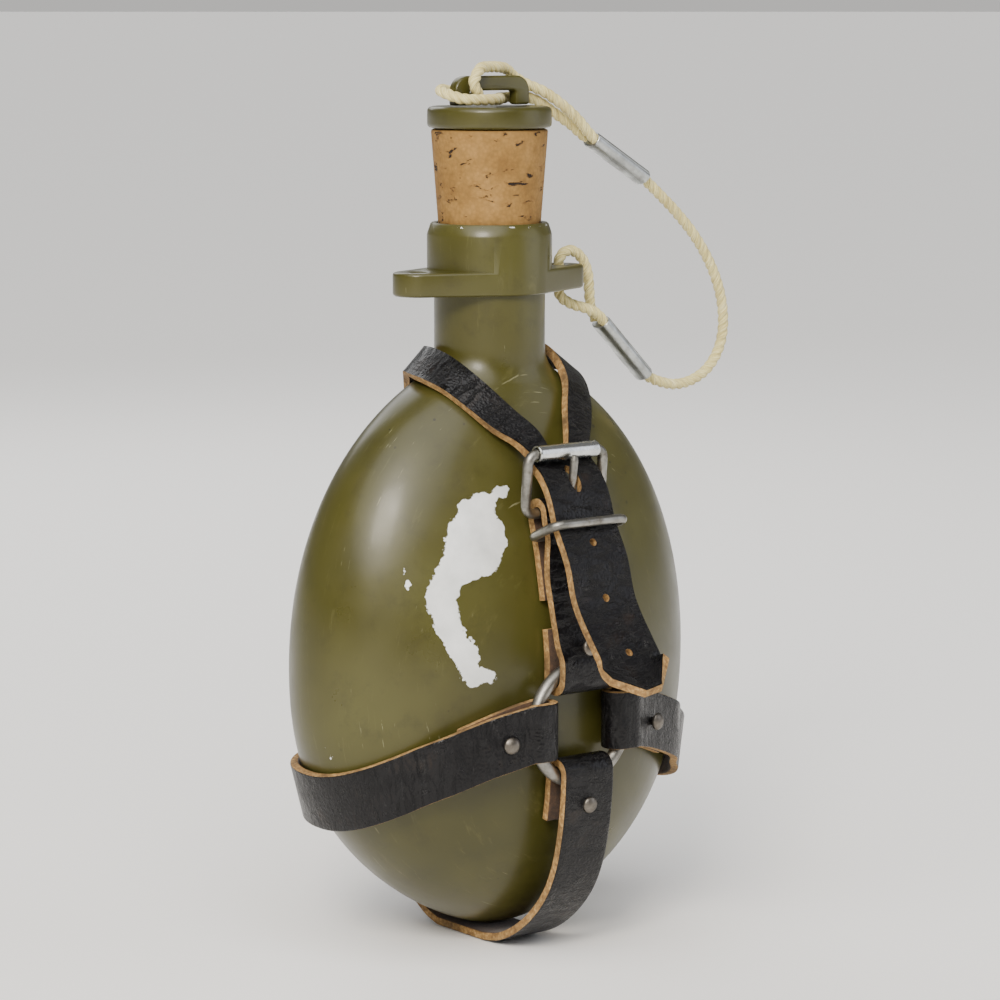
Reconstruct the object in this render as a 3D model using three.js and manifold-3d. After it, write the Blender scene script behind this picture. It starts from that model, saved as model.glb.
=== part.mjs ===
// A one-litre aluminium field canteen: an oval flask, a cork stopper on a cord lanyard,
// and a black leather harness with a roller buckle.
// Millimetres, +Z up. The broad width of the flask lies along X, and the buckle faces -Y.
// The origin is where the axis of the flask meets the surface that the canteen stands on.

import * as THREE from 'three';
import { mergeVertices } from 'three/addons/utils/BufferGeometryUtils.js';
import Module from 'manifold-3d';

const wasm = await Module();
wasm.setup();

// ---------------------------------------------------------------- driving dimensions

const GAP = 0.3; // clearance between pieces that touch
const LEATHER = 2.4; // thickness of every strap

const FLASK = {
  bottom: LEATHER + GAP,
  belly: 82, // height of the widest section
  shoulder: 163, // where the shoulder starts to turn into the neck
  neckStart: 173,
  neckRadius: 16,
  mouthRadius: 15.05,
  mouth: 206.2,
  wall: 1.3,
};
// Each half axis is half * (1 - u^p)^q, where u is the distance from the belly over the reach.
const WIDTH = { half: 66, below: { reach: 79.8, p: 2.2, q: 0.66 }, above: { reach: 87, p: 2.2, q: 0.53 } };
const DEPTH = { half: 38.5, below: { reach: 79.8, p: 4, q: 0.66 }, above: { reach: 105, p: 1.7, q: 0.8 } };

const COLLAR = { bottom: 188, top: 208, radius: 18, chamfer: 3.2, lip: 1.5 };
const LUG = { reach: 25.3, radius: 7.5, hole: 2.4, thick: 6.8, bevel: 1 };

const CORK = { bottom: 194, top: 234.6, bottomRadius: 13.7, topRadius: 16.75 };
const CAP = { bottom: 234.9, top: 241.1, radius: 17.85, edge: 1.3 };
const BAIL = { halfSpan: 13.4, height: 8.3, leg: 5, bar: 4.2, depth: 3.6, outerCorner: 4.5, innerCorner: 1.2 };
const STUD = { radius: 2.5, bottom: 187, top: 237.9 };
const WASHER = { radius: 10, bottom: 192.6, thick: 1.1 };
const NUT = { radius: 4.6, bottom: 188.2, thick: 4.1 };

const CORD_RADIUS = 1.65;
const FERRULE = { across: 5, deep: 7 };

const HARNESS_X = -1.5; // the centre line of the harness sits a little off the flask's axis
const RING = { radius: 16.6, wire: 1.9, y: -43.4, z: 68.9 };
const BUCKLE = { halfWidth: 13.5, height: 17, corner: 3, wire: 1.5, y: -35.4, z: 128.5, lean: -1.5 };
const ROLLER = { halfLength: 10.7, radius: 2.3 };
const PRONG = { wire: 1.2, hole: 1.9, stretch: 2.4 };
const KEEPER = { halfWidth: 12.8, halfDepth: 6.2, corner: 3, wire: 1.3, y: -42.5, z: 124.4, tilt: 0.4 };
const RIVET = { shank: 1.2, hole: 1.6, burr: 2.5, burrHole: 2.9, burrThick: 0.8, head: 2.5, dome: 1.6 };
const YOKE_WIDTH = 21;
// The sole is a hair hollow, so that the canteen stands on its front and back edges.
const SOLE_HOLLOW = 0.02;
const BUCKLE_STRAP_WIDTH = 18.5;
const BOTTOM_STRAP_WIDTH = 17.5;
const GIRTH_WIDTH = 16.5;
const GIRTH = { frontZ: 68.45, drop: 21.45, snug: 1.9, flapSnug: 1.6, ringLift: 5.7, lowerLift: 3 };
const BELT_LOOP_WIDTH = 20;

// ------------------------------------------------------------------------- materials

const paint = (color, roughness) => new THREE.MeshStandardMaterial({ color, roughness, metalness: 0.1 });
const metal = (color, roughness) => new THREE.MeshStandardMaterial({ color, roughness, metalness: 1 });
const olivePaint = paint(0x6b6534, 0.35);
const corkBark = paint(0xb08a57, 0.85);
const cordFibre = paint(0xe2d8a2, 0.9);
const leather = paint(0x1d1c20, 0.5);
const steel = metal(0x8d8f8a, 0.4);
const aluminium = metal(0xb9bbb8, 0.35);

// --------------------------------------------------------------------------- solids

function toSolid(geometry) {
  const bare = geometry.clone();
  bare.deleteAttribute('normal');
  bare.deleteAttribute('uv');
  const merged = mergeVertices(bare, 1e-4);
  const vertProperties = new Float32Array(merged.attributes.position.array);
  const triVerts = new Uint32Array(merged.index.array);
  return new wasm.Manifold(new wasm.Mesh({ numProp: 3, vertProperties, triVerts }));
}

function toGeometry(solid) {
  const mesh = solid.getMesh();
  const geometry = new THREE.BufferGeometry();
  geometry.setAttribute('position', new THREE.BufferAttribute(mesh.vertProperties, 3));
  geometry.setIndex(new THREE.BufferAttribute(mesh.triVerts, 1));
  return geometry;
}

const joined = (geometries) => geometries.map(toSolid).reduce((whole, piece) => whole.add(piece));
const cut = (solid, tools) => tools.map(toSolid).reduce((whole, tool) => whole.subtract(tool), solid);

// A solid turned about Z from [radius, height] points.
function turned(points, segments = 48) {
  const outline = points.map(([radius, height]) => new THREE.Vector2(radius, height));
  return new THREE.LatheGeometry(outline, segments).rotateX(Math.PI / 2);
}

function cylinder(radius, bottom, top, segments = 24) {
  const geometry = new THREE.CylinderGeometry(radius, radius, top - bottom, segments);
  return geometry.rotateX(Math.PI / 2).translate(0, 0, (top + bottom) / 2);
}

// A wire bent into a rounded rectangle in the XY plane, from a torus laid along the loop.
function wireLoop(halfWidth, halfHeight, corner, wire) {
  const sides = 8;
  const steps = 40;
  const x = halfWidth - corner;
  const y = halfHeight - corner;
  const loop = new THREE.Path();
  loop.absarc(x, y, corner, 0, Math.PI / 2);
  loop.absarc(-x, y, corner, Math.PI / 2, Math.PI);
  loop.absarc(-x, -y, corner, Math.PI, 1.5 * Math.PI);
  loop.absarc(x, -y, corner, 1.5 * Math.PI, 2 * Math.PI);
  loop.closePath();
  const torus = new THREE.TorusGeometry(halfWidth, wire, sides, steps);
  const { position, uv } = torus.attributes;
  for (let i = 0; i < position.count; i++) {
    const along = uv.getX(i) % 1;
    const around = uv.getY(i) * 2 * Math.PI;
    const point = loop.getPointAt(along);
    const tangent = loop.getTangentAt(along);
    const out = wire * Math.cos(around);
    position.setXYZ(i, point.x + tangent.y * out, point.y - tangent.x * out, wire * Math.sin(around));
  }
  return torus;
}

// ---------------------------------------------------------------------------- flask

function eggRadius(z, axis) {
  const part = z < FLASK.belly ? axis.below : axis.above;
  const u = Math.min(Math.abs(z - FLASK.belly) / part.reach, 1);
  return axis.half * (1 - u ** part.p) ** part.q;
}

// Half axis of the flask's oval section at height z. The shoulder runs into the neck in a
// smooth curve that leaves along the shoulder's slope and arrives upright.
function halfAxis(z, axis) {
  if (z <= FLASK.shoulder) return eggRadius(z, axis);
  if (z >= FLASK.neckStart) return FLASK.neckRadius;
  const span = FLASK.neckStart - FLASK.shoulder;
  const t = (z - FLASK.shoulder) / span;
  const start = eggRadius(FLASK.shoulder, axis);
  const slope = (start - eggRadius(FLASK.shoulder - 0.5, axis)) / 0.5;
  const fall = 2 * t ** 3 - 3 * t ** 2 + 1;
  const lead = t ** 3 - 2 * t ** 2 + t;
  return fall * start + lead * slope * span + (1 - fall) * FLASK.neckRadius;
}

// A closed solid with the flask's oval sections, shrunk sideways by the wall thickness.
function ovalSolid(levels, shrink, neckRadius) {
  const outline = levels.map((z) => {
    const radius = z >= FLASK.neckStart ? neckRadius : halfAxis(z, WIDTH) - shrink;
    return [radius, z];
  });
  const geometry = turned([[0, levels[0]], ...outline, [0, levels.at(-1)]]);
  const { position } = geometry.attributes;
  for (let i = 0; i < position.count; i++) {
    const z = position.getZ(i);
    if (z >= FLASK.neckStart) continue;
    const ratio = (halfAxis(z, DEPTH) - shrink) / (halfAxis(z, WIDTH) - shrink);
    position.setY(i, position.getY(i) * ratio);
  }
  return geometry;
}

function flaskLevels(bottom, mouth) {
  const below = [0.02, 0.06, 0.13, 0.22, 0.34, 0.48, 0.65, 0.82];
  const above = [0, 0.16, 0.32, 0.47, 0.61, 0.73, 0.83, 0.92];
  const neck = [0, 0.25, 0.5, 0.75, 1];
  return [
    bottom,
    ...below.map((share) => bottom + share * (FLASK.belly - bottom)),
    ...above.map((share) => FLASK.belly + share * (FLASK.shoulder - FLASK.belly)),
    ...neck.map((share) => FLASK.shoulder + share * (FLASK.neckStart - FLASK.shoulder)),
    mouth,
  ];
}

function bottleShell() {
  const outside = ovalSolid(flaskLevels(FLASK.bottom, FLASK.mouth), 0, FLASK.neckRadius);
  const cavityBottom = FLASK.bottom + 2 * FLASK.wall;
  const cavity = ovalSolid(flaskLevels(cavityBottom, FLASK.mouth + 1), FLASK.wall, FLASK.mouthRadius);
  return toGeometry(cut(toSolid(outside), [cavity]));
}

// The collar is a ring with a lip over the flask's mouth, and a plate that ends in two lugs.
// The sides of the plate are tangent to the ring and to both lugs.
function neckCollar() {
  const bore = FLASK.neckRadius + GAP;
  const ring = turned([
    [bore, COLLAR.bottom],
    [COLLAR.radius, COLLAR.bottom],
    [COLLAR.radius, COLLAR.top - COLLAR.chamfer],
    [COLLAR.radius - COLLAR.chamfer * 0.4, COLLAR.top],
    [FLASK.mouthRadius + 0.1, COLLAR.top],
    [FLASK.mouthRadius + 0.1, COLLAR.top - COLLAR.lip],
    [bore, COLLAR.top - COLLAR.lip],
    [bore, COLLAR.bottom],
  ]);
  const angle = Math.acos((COLLAR.radius - LUG.radius) / LUG.reach);
  const big = COLLAR.radius - LUG.bevel;
  const small = LUG.radius - LUG.bevel;
  const outline = new THREE.Shape();
  outline.absarc(LUG.reach, 0, small, -angle, angle);
  outline.absarc(0, 0, big, angle, Math.PI - angle);
  outline.absarc(-LUG.reach, 0, small, Math.PI - angle, Math.PI + angle);
  outline.absarc(0, 0, big, Math.PI + angle, 2 * Math.PI - angle);
  const plate = new THREE.ExtrudeGeometry(outline, {
    depth: LUG.thick - 2 * LUG.bevel,
    bevelThickness: LUG.bevel,
    bevelSize: LUG.bevel,
    bevelSegments: 1,
    curveSegments: 10,
  });
  plate.translate(0, 0, COLLAR.bottom + LUG.bevel);
  const holes = [-1, 1].map((side) => {
    const hole = cylinder(LUG.hole, COLLAR.bottom - 1, COLLAR.bottom + LUG.thick + 1, 16);
    return hole.translate(side * LUG.reach, 0, 0);
  });
  const boreTool = cylinder(bore, COLLAR.bottom - 1, COLLAR.bottom + LUG.thick + 1, 48);
  return toGeometry(toSolid(ring).add(cut(toSolid(plate), [boreTool, ...holes])));
}

// -------------------------------------------------------------------------- stopper

function stopperCap() {
  const blind = STUD.radius + GAP;
  return turned([
    [0, STUD.top + GAP],
    [blind, STUD.top + GAP],
    [blind, CAP.bottom],
    [CAP.radius - CAP.edge, CAP.bottom],
    [CAP.radius, CAP.bottom + CAP.edge],
    [CAP.radius, CAP.top - CAP.edge],
    [CAP.radius - CAP.edge, CAP.top],
    [0, CAP.top],
  ]);
}

function corkBody() {
  const bore = STUD.radius + GAP;
  return turned([
    [bore, CORK.bottom],
    [CORK.bottomRadius, CORK.bottom],
    [CORK.topRadius, CORK.top],
    [bore, CORK.top],
    [bore, CORK.bottom],
  ]);
}

function capBail() {
  const { halfSpan, height, leg, bar, outerCorner, innerCorner } = BAIL;
  const inner = halfSpan - leg;
  const soffit = height - bar;
  const arch = new THREE.Shape();
  arch.moveTo(-inner, 0);
  arch.lineTo(-inner, soffit - innerCorner);
  arch.absarc(-inner + innerCorner, soffit - innerCorner, innerCorner, Math.PI, Math.PI / 2, true);
  arch.absarc(inner - innerCorner, soffit - innerCorner, innerCorner, Math.PI / 2, 0, true);
  arch.lineTo(inner, 0);
  arch.lineTo(halfSpan, 0);
  arch.absarc(halfSpan - outerCorner, height - outerCorner, outerCorner, 0, Math.PI / 2);
  arch.absarc(-halfSpan + outerCorner, height - outerCorner, outerCorner, Math.PI / 2, Math.PI);
  arch.lineTo(-halfSpan, 0);
  const options = { depth: BAIL.depth, bevelEnabled: false, curveSegments: 6 };
  const bail = new THREE.ExtrudeGeometry(arch, options);
  return bail.translate(0, 0, -BAIL.depth / 2).rotateX(Math.PI / 2);
}

function stopperWasher() {
  const bore = STUD.radius + GAP;
  const top = WASHER.bottom + WASHER.thick;
  const { radius, bottom } = WASHER;
  return turned([[bore, bottom], [radius, bottom], [radius, top], [bore, top], [bore, bottom]], 32);
}

function stopperNut() {
  const hexagon = cylinder(NUT.radius, NUT.bottom, NUT.bottom + NUT.thick, 6);
  const bore = cylinder(STUD.radius + GAP, NUT.bottom - 1, NUT.bottom + NUT.thick + 1);
  return toGeometry(cut(toSolid(hexagon), [bore]));
}

// -------------------------------------------------------------------------- lanyard

const point = ([x, y, z]) => new THREE.Vector3(x, y, z);

// The lanyard hangs in the plane of the lugs. Its two sleeves lie between these ends.
const UPPER_FERRULE = { eyeEnd: point([37.5, 0, 231]), runEnd: point([57.8, 0, 218.9]) };
const LOWER_FERRULE = { eyeEnd: point([41.4, 0, 177.3]), runEnd: point([58.8, 0, 160.1]) };

const UPPER_EYE_ROUTE = [
  [37.2, 1.75, 231.2], [34.9, 1.9, 232.8], [32, 2.5, 235.2], [26.5, 3.3, 238.6], [21, 4, 242],
  [17.5, 4.6, 243.2], [13, 4.6, 243.4], [8.5, 4.2, 243.2], [5.2, 2.2, 243.2], [3.2, -0.4, 243.2],
  [0.4, -4, 243.1], [-4, -6.7, 243.1], [-9, -6.7, 243.1], [-13.6, -4.9, 243.4], [-16, -1.8, 244.6],
  [-15.9, 2, 245.6], [-12.8, 4.6, 245.8], [-9, 4.7, 244.9], [-6.4, 3.2, 243.9], [-5.7, 0.4, 243.4],
  [-5.9, -2.2, 243.5], [-7.4, -4, 245], [-8.7, -4.3, 246.8], [-8.9, -4.3, 248.4], [-7.8, -4.1, 250.2],
  [-5.2, -2.7, 251.9], [-1, -0.5, 252.2], [4, 1.2, 252.1], [8.5, 3.2, 251.5], [12.2, 4.4, 249.4],
  [15.8, 3.3, 247.2], [21, 1.2, 244.8], [26.5, -0.8, 240.8], [31.5, -1.6, 236.6],
  [34.9, -1.75, 233.2], [37.2, -1.75, 231.2],
];
const RUN_ROUTE = [
  [58.1, 0, 218.7], [62.3, 0, 215.4], [70.1, 0, 209], [77.1, 0, 202.3], [82.2, 0, 196], [86, 0, 189.8],
  [88.6, 0, 183.6],
  [89.9, 0, 177.6], [89.9, 0, 171.6], [88, 0, 165.6], [83.6, 0, 160.4], [77.4, 0, 157.4], [70.8, 0, 156.6],
  [64.4, 0, 157.9], [59.05, 0, 160],
];
const LOWER_EYE_ROUTE = [
  [41.1, -1.75, 177.6], [38.6, -1.75, 179.8], [34.4, -1.5, 181.6], [29.8, -0.8, 183], [26.2, -0.2, 185.4],
  [25.3, 0, 189.4], [25.3, 0, 193.4], [26.6, 0.2, 197.2], [30.4, 0.6, 198.6], [34.6, 1, 196.6],
  [37.6, 1.4, 192],
  [38.6, 1.7, 186.6], [39.2, 1.75, 181.6], [41.1, 1.75, 177.6],
];

function cord(route, steps) {
  const section = new THREE.Shape();
  const sides = 8;
  for (let i = 0; i < sides; i++) {
    const angle = (i / sides) * 2 * Math.PI;
    const corner = [CORD_RADIUS * Math.cos(angle), CORD_RADIUS * Math.sin(angle)];
    if (i === 0) section.moveTo(...corner);
    else section.lineTo(...corner);
  }
  const extrudePath = new THREE.CatmullRomCurve3(route.map(point));
  return new THREE.ExtrudeGeometry(section, { steps, extrudePath, bevelEnabled: false });
}

// A crimped sleeve, oval because two strands lie in it side by side.
function ferrule({ eyeEnd, runEnd }) {
  const along = runEnd.clone().sub(eyeEnd);
  const length = along.length() - 2 * GAP;
  const sleeve = new THREE.CylinderGeometry(1, 1, length, 16);
  sleeve.scale(FERRULE.across / 2, 1, FERRULE.deep / 2);
  along.normalize();
  const deep = new THREE.Vector3(0, 1, 0);
  const across = along.clone().cross(deep);
  const turn = new THREE.Matrix4().makeBasis(across, along, deep);
  const middle = eyeEnd.clone().add(runEnd).multiplyScalar(0.5);
  return sleeve.applyMatrix4(turn).translate(middle.x, middle.y, middle.z);
}

// ----------------------------------------------------------------- straps in general

// A strap is a flat box bent so that its two edges follow the given edge points. Its grain
// side faces the cross product of the across and along directions.
function strap(leftEdge, rightEdge) {
  const last = leftEdge.length - 1;
  const middle = leftEdge.map((place, i) => place.clone().add(rightEdge[i]).multiplyScalar(0.5));
  const box = new THREE.BoxGeometry(1, last, LEATHER, 1, last, 1);
  const { position } = box.attributes;
  for (let i = 0; i < position.count; i++) {
    const s = Math.round(position.getY(i) + last / 2);
    const across = rightEdge[s].clone().sub(leftEdge[s]);
    const along = middle[Math.min(s + 1, last)].clone().sub(middle[Math.max(s - 1, 0)]);
    const outward = across.clone().cross(along).normalize();
    const corner = middle[s].clone();
    corner.addScaledVector(across, position.getX(i));
    corner.addScaledVector(outward, position.getZ(i));
    position.setXYZ(i, corner.x, corner.y, corner.z);
  }
  return box;
}

// Paths of the upright straps are [y, z] points of the middle of the leather.
function smooth(points, steps) {
  const curve = new THREE.SplineCurve(points.map(([y, z]) => new THREE.Vector2(y, z)));
  return curve.getSpacedPoints(steps).map((place) => [place.x, place.y]);
}

function arc([y, z], radius, from, to, steps = 8) {
  return Array.from({ length: steps + 1 }, (_, i) => {
    const angle = THREE.MathUtils.degToRad(from + ((to - from) * i) / steps);
    return [y + radius * Math.cos(angle), z + radius * Math.sin(angle)];
  });
}

function uprightStrap(path, width) {
  const edge = (side) => path.map(([y, z]) => new THREE.Vector3(HARNESS_X + (side * width) / 2, y, z));
  return strap(edge(-1), edge(1));
}

// The middle of the leather lies this far outside the flask when the strap touches it.
const SNUG = GAP + 0.05 + LEATHER / 2;
const onFlask = (z, side, lift = 0) => [side * (halfAxis(z, DEPTH) + SNUG + lift), z];

// ----------------------------------------------------------------------- the straps

const RING_TURN = RING.wire + GAP + LEATHER / 2;
// A straight fold over the round ring lies on the wire at the strap's edges, where the wire
// runs aslant and so takes more room. The fold turns this far from the ring's middle.
function ringFold(width) {
  const chord = Math.sqrt(RING.radius ** 2 - (width / 2) ** 2);
  return chord - RING.wire * (RING.radius / chord - 1);
}
const BAR_TURN = BUCKLE.wire + GAP + LEATHER / 2;
const LAYER = LEATHER + GAP;

// From the lower flap behind, round the ring, up the front, round the hinge bar of the
// buckle and down behind to the upper flap.
function buckleStrapPath() {
  const ringWire = [RING.y, RING.z + ringFold(BUCKLE_STRAP_WIDTH)];
  const bar = [BUCKLE.y, BUCKLE.z];
  return [
    ...smooth([onFlask(96, -1), onFlask(91, -1, 0.1), [RING.y + RING_TURN - 0.1, ringWire[1] + 3]], 4),
    ...arc(ringWire, RING_TURN, 0, -180),
    ...smooth([[-46.9, 84.4], [-46.75, 87.8], [-45, 91.2], [-43.3, 97], [-41.5, 104], [-40.1, 110],
      [-39.9, 117], [-40.2, 121.8],
      [-38.9, 126]], 12),
    ...arc(bar, BAR_TURN, 180, 0),
    ...smooth([[-32.9, 125.5], onFlask(118, -1, 0.1), onFlask(111, -1), onFlask(104, -1)], 6),
  ];
}

// The lower end of the fold round the hinge bar is slotted, so that the prong can swing.
function buckleStrap(rivets) {
  const whole = toSolid(uprightStrap(buckleStrapPath(), BUCKLE_STRAP_WIDTH));
  const slot = new THREE.BoxGeometry(5, 14, 10.4).translate(HARNESS_X, BUCKLE.y - 1, BUCKLE.z + 0.3);
  return toGeometry(cut(whole, [slot, ...rivets]));
}

// Down the back, under the flask, up the front and round the ring.
function bottomStrapPath() {
  const ringWire = [RING.y, RING.z - ringFold(BOTTOM_STRAP_WIDTH)];
  const flat = LEATHER / 2;
  return [
    ...smooth([onFlask(84, 1, 0.2), onFlask(74, 1, 0.3), onFlask(66, 1, 1.2)], 4),
    ...smooth([[42.8, 58], [42.1, 47], [40.6, 36], [37, 24.5], [31.5, 15], [24.5, 7.6], [17.5, 3],
      [12, flat]], 18),
    [0, flat + SOLE_HOLLOW],
    ...smooth([[-10, flat], [-17, 2.6], [-24.5, 6.2], [-32, 12], [-38.3, 19.3], [-42.4, 27.5], [-44.8, 36.5],
      [-46, 44], [-46.6, 50]], 18),
    ...arc(ringWire, RING_TURN, 180, 0),
    ...smooth([[-39.8, 52], onFlask(47, -1, 0.2), onFlask(41, -1, 0.1)], 4),
  ];
}

function bottomStrap(rivets) {
  return toGeometry(cut(toSolid(uprightStrap(bottomStrapPath(), BOTTOM_STRAP_WIDTH)), rivets));
}

// The free end of the yoke strap: it curls away from the flask, passes through the keeper and
// over the hinge bar, and ends behind the roller, where the slit starts.
const TONGUE_PATH = smooth([
  [-75.4, 82.6], [-69, 86], [-61.1, 94.7], [-53.8, 105], [-50.3, 115.8], [-44.6, 126.4], [-43, 131],
  [-41, 135.2], [-38.1, 138.9], [-34.3, 142], [-32.3, 146],
], 26);
const TONGUE_HOLES = [137.6, 120.5, 105.6, 91.4];

function rearTailPath() {
  return smooth([
    onFlask(147, 1, 0.9), onFlask(136, 1, 0.2), onFlask(124, 1, 0.2), onFlask(108, 1, 0.2), onFlask(94, 1, 0.6),
    onFlask(84, 1, LAYER + 0.3), onFlask(74, 1, LAYER + 0.4), onFlask(66, 1, LAYER + 1.4),
  ], 18);
}

// Edge points of the branch that passes the neck on the +X side, from the tongue to the rear.
const INNER_EDGE = [
  [3, -33.1, 144.6], [5.2, -28.4, 150.2], [9.4, -22.8, 156], [14.6, -16.2, 163.4], [17.5, -7, 169.3],
  [18.1, 0, 171.6], [16.9, 6.6, 172], [13.2, 12.4, 171], [9.2, 17, 167], [6.2, 20.8, 161.5],
  [4.2, 24.4, 154.4], [3, 27.2, 145],
];
const OUTER_EDGE = [
  [10.5, -33.1, 144.6], [13.2, -28.6, 147.6], [17.4, -24, 151.2], [21.6, -18.4, 156.4], [25, -11.4, 161.4],
  [26.6, -4.4, 163.9], [26, 2.6, 164.9], [23.4, 8.8, 165], [20, 13.4, 163.6], [16.9, 17.4, 160.6],
  [14, 21, 156], [11.9, 24.2, 150.8], [10.5, 27, 145],
];

function yokeBranch(side) {
  const steps = 30;
  const edge = (route) => {
    const places = route.map(([x, y, z], i) => {
      const shift = i === 0 || i === route.length - 1 ? HARNESS_X : 0;
      return new THREE.Vector3(side * x + shift, y, z);
    });
    return new THREE.CatmullRomCurve3(places).getSpacedPoints(steps);
  };
  const [inner, outer] = [edge(INNER_EDGE), edge(OUTER_EDGE)];
  return side > 0 ? strap(inner, outer) : strap(outer, inner);
}

// A frame on an upright strap's path: the place on its middle at height z, and the outward
// direction there.
function frameOn(path, z) {
  const i = path.findIndex((_, k) => k > 0 && (path[k - 1][1] - z) * (path[k][1] - z) <= 0);
  const [[y0, z0], [y1, z1]] = [path[i - 1], path[i]];
  const y = y0 + ((y1 - y0) * (z - z0)) / (z1 - z0);
  const outward = new THREE.Vector3(0, -(z1 - z0), y1 - y0).normalize();
  if (outward.y * y < 0) outward.negate();
  return { place: new THREE.Vector3(HARNESS_X, y, z), outward };
}

function punch(path, z, radius, stretch = 1) {
  const { place, outward } = frameOn(path, z);
  const hole = new THREE.CylinderGeometry(radius, radius, 4 * LEATHER, 16).scale(1, 1, stretch);
  hole.applyQuaternion(new THREE.Quaternion().setFromUnitVectors(new THREE.Vector3(0, 1, 0), outward));
  return hole.translate(place.x, place.y, place.z);
}

function yokeStrap(rivets) {
  const tongue = uprightStrap(TONGUE_PATH, YOKE_WIDTH);
  const tail = uprightStrap(rearTailPath(), YOKE_WIDTH);
  const whole = joined([tongue, tail, yokeBranch(-1), yokeBranch(1)]);
  const holes = TONGUE_HOLES.map((z, i) => punch(TONGUE_PATH, z, i ? 1.2 : PRONG.hole, i ? 1 : PRONG.stretch));
  return toGeometry(cut(whole, [...holes, ...rivets]));
}

const BELT_LOOP_PATH = smooth([
  onFlask(141, 1, LAYER + 0.5), onFlask(132, 1, LAYER + 0.5), [43, 123], [49.5, 112], [52, 99], [50.2, 87],
  onFlask(78.5, 1, 2 * LAYER + 1), onFlask(69, 1, 2 * LAYER + 1.2),
], 20);

// ----------------------------------------------------------------- the girth strap

const toRadians = THREE.MathUtils.degToRad;

// Height of the girth strap's middle: level behind, and rising to the ring in front.
function girthHeight(degrees) {
  const side = Math.abs(degrees) > 90 ? 1 : Math.max(Math.abs(Math.sin(toRadians(degrees))) - 0.2, 0) / 0.8;
  return GIRTH.frontZ - GIRTH.drop * side ** 1.4;
}

// The outer run leaves the ring, comes down on the flap under it, and then on the flask.
function girthLift(degrees) {
  const overFlap = (LEATHER + GAP) * (1 - THREE.MathUtils.smoothstep(Math.abs(degrees), 35, 48));
  const fromRing = Math.abs(WIDTH.half * Math.sin(toRadians(degrees)) - HARNESS_X) - RING.radius;
  const nearRing = Math.abs(degrees) < 90 ? Math.exp(-fromRing / 6) : 0;
  return GIRTH.snug + overFlap + GIRTH.ringLift * nearRing;
}

function girthPoint(degrees, lift, side) {
  const z = girthHeight(degrees) + (side * GIRTH_WIDTH) / 2;
  const slack = side < 0 ? GIRTH.lowerLift * Math.abs(Math.sin(toRadians(degrees))) : 0;
  const x = (halfAxis(z, WIDTH) + lift + slack) * Math.sin(toRadians(degrees));
  const y = -(halfAxis(z, DEPTH) + lift + slack) * Math.cos(toRadians(degrees));
  return new THREE.Vector3(x, y, z);
}

const wrapped = (degrees) => (degrees < -180 ? degrees + 360 : degrees);

function girthEdge(side) {
  const rise = (side * GIRTH_WIDTH) / 2;
  const fold = (turn) => {
    const loose = RING_TURN + 0.25;
    const lowEdge = RING.z - GIRTH.frontZ + GIRTH_WIDTH / 2;
    const inside = [HARNESS_X - turn * (ringFold(2 * lowEdge) + GAP), RING.y];
    const outside = [HARNESS_X - turn * RING.radius, RING.y];
    const around = [
      ...arc(inside, loose, 90, 90 - 180 * turn),
      ...arc(outside, loose, 90 - 180 * turn, 90 - 212 * turn, 2),
    ];
    return around.map(([x, y]) => new THREE.Vector3(x, y, GIRTH.frontZ + rise));
  };
  const leftFlap = [-34, -29, -24, -20, -16.5].map((a) => girthPoint(a, GIRTH.flapSnug, side));
  const rightFlap = [12.5, 17, 22, 27, 32].map((a) => girthPoint(a, GIRTH.flapSnug, side));
  const around = Array.from({ length: 45 }, (_, i) => -21.5 - i * 7.3);
  const outer = around.map((a) => girthPoint(wrapped(a), girthLift(wrapped(a)), side));
  return [...leftFlap, ...fold(1), ...outer, ...fold(-1).reverse(), ...rightFlap];
}

function girthStrap(rivets) {
  return toGeometry(cut(toSolid(strap(girthEdge(-1), girthEdge(1))), rivets));
}

// --------------------------------------------------------------------------- rivets

// A rivet stands on the inner face of its stack of leather. Its burr is sunk in that face,
// and its domed head sits on the outer face, which is a grip away.
function rivetOutline(grip) {
  const seat = grip + GAP;
  const { shank, burr, burrThick, head, dome } = RIVET;
  return [
    [0, 0.1], [burr, 0.1], [burr, burrThick], [shank, burrThick], [shank, seat], [head, seat],
    [head * 0.94, seat + dome * 0.45], [head * 0.6, seat + dome * 0.85], [0, seat + dome],
  ];
}

function clearanceOutline(grip) {
  const step = RIVET.burrThick + GAP;
  return [[0, -2], [RIVET.burrHole, -2], [RIVET.burrHole, step], [RIVET.hole, step], [RIVET.hole, grip + 1], [0, grip + 1]];
}

function placed(outline, { foot, outward }) {
  const geometry = turned(outline, 16);
  geometry.applyQuaternion(new THREE.Quaternion().setFromUnitVectors(new THREE.Vector3(0, 0, 1), outward));
  return geometry.translate(foot.x, foot.y, foot.z);
}

// Rivets through upright straps stand on the inner layer's path, at a height.
function uprightRivet(path, z, grip) {
  const { place, outward } = frameOn(path, z);
  const foot = place.addScaledVector(outward, -LEATHER / 2);
  return { foot, outward, grip };
}

function girthRivet(degrees, grip) {
  const inner = girthPoint(degrees, GIRTH.flapSnug - LEATHER / 2, -1);
  const foot = girthPoint(degrees, GIRTH.flapSnug - LEATHER / 2, 1).add(inner).multiplyScalar(0.5);
  const x = Math.sin(toRadians(degrees)) / WIDTH.half;
  const y = -Math.cos(toRadians(degrees)) / DEPTH.half;
  return { foot, outward: new THREE.Vector3(x, y, 0).normalize(), grip };
}

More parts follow.
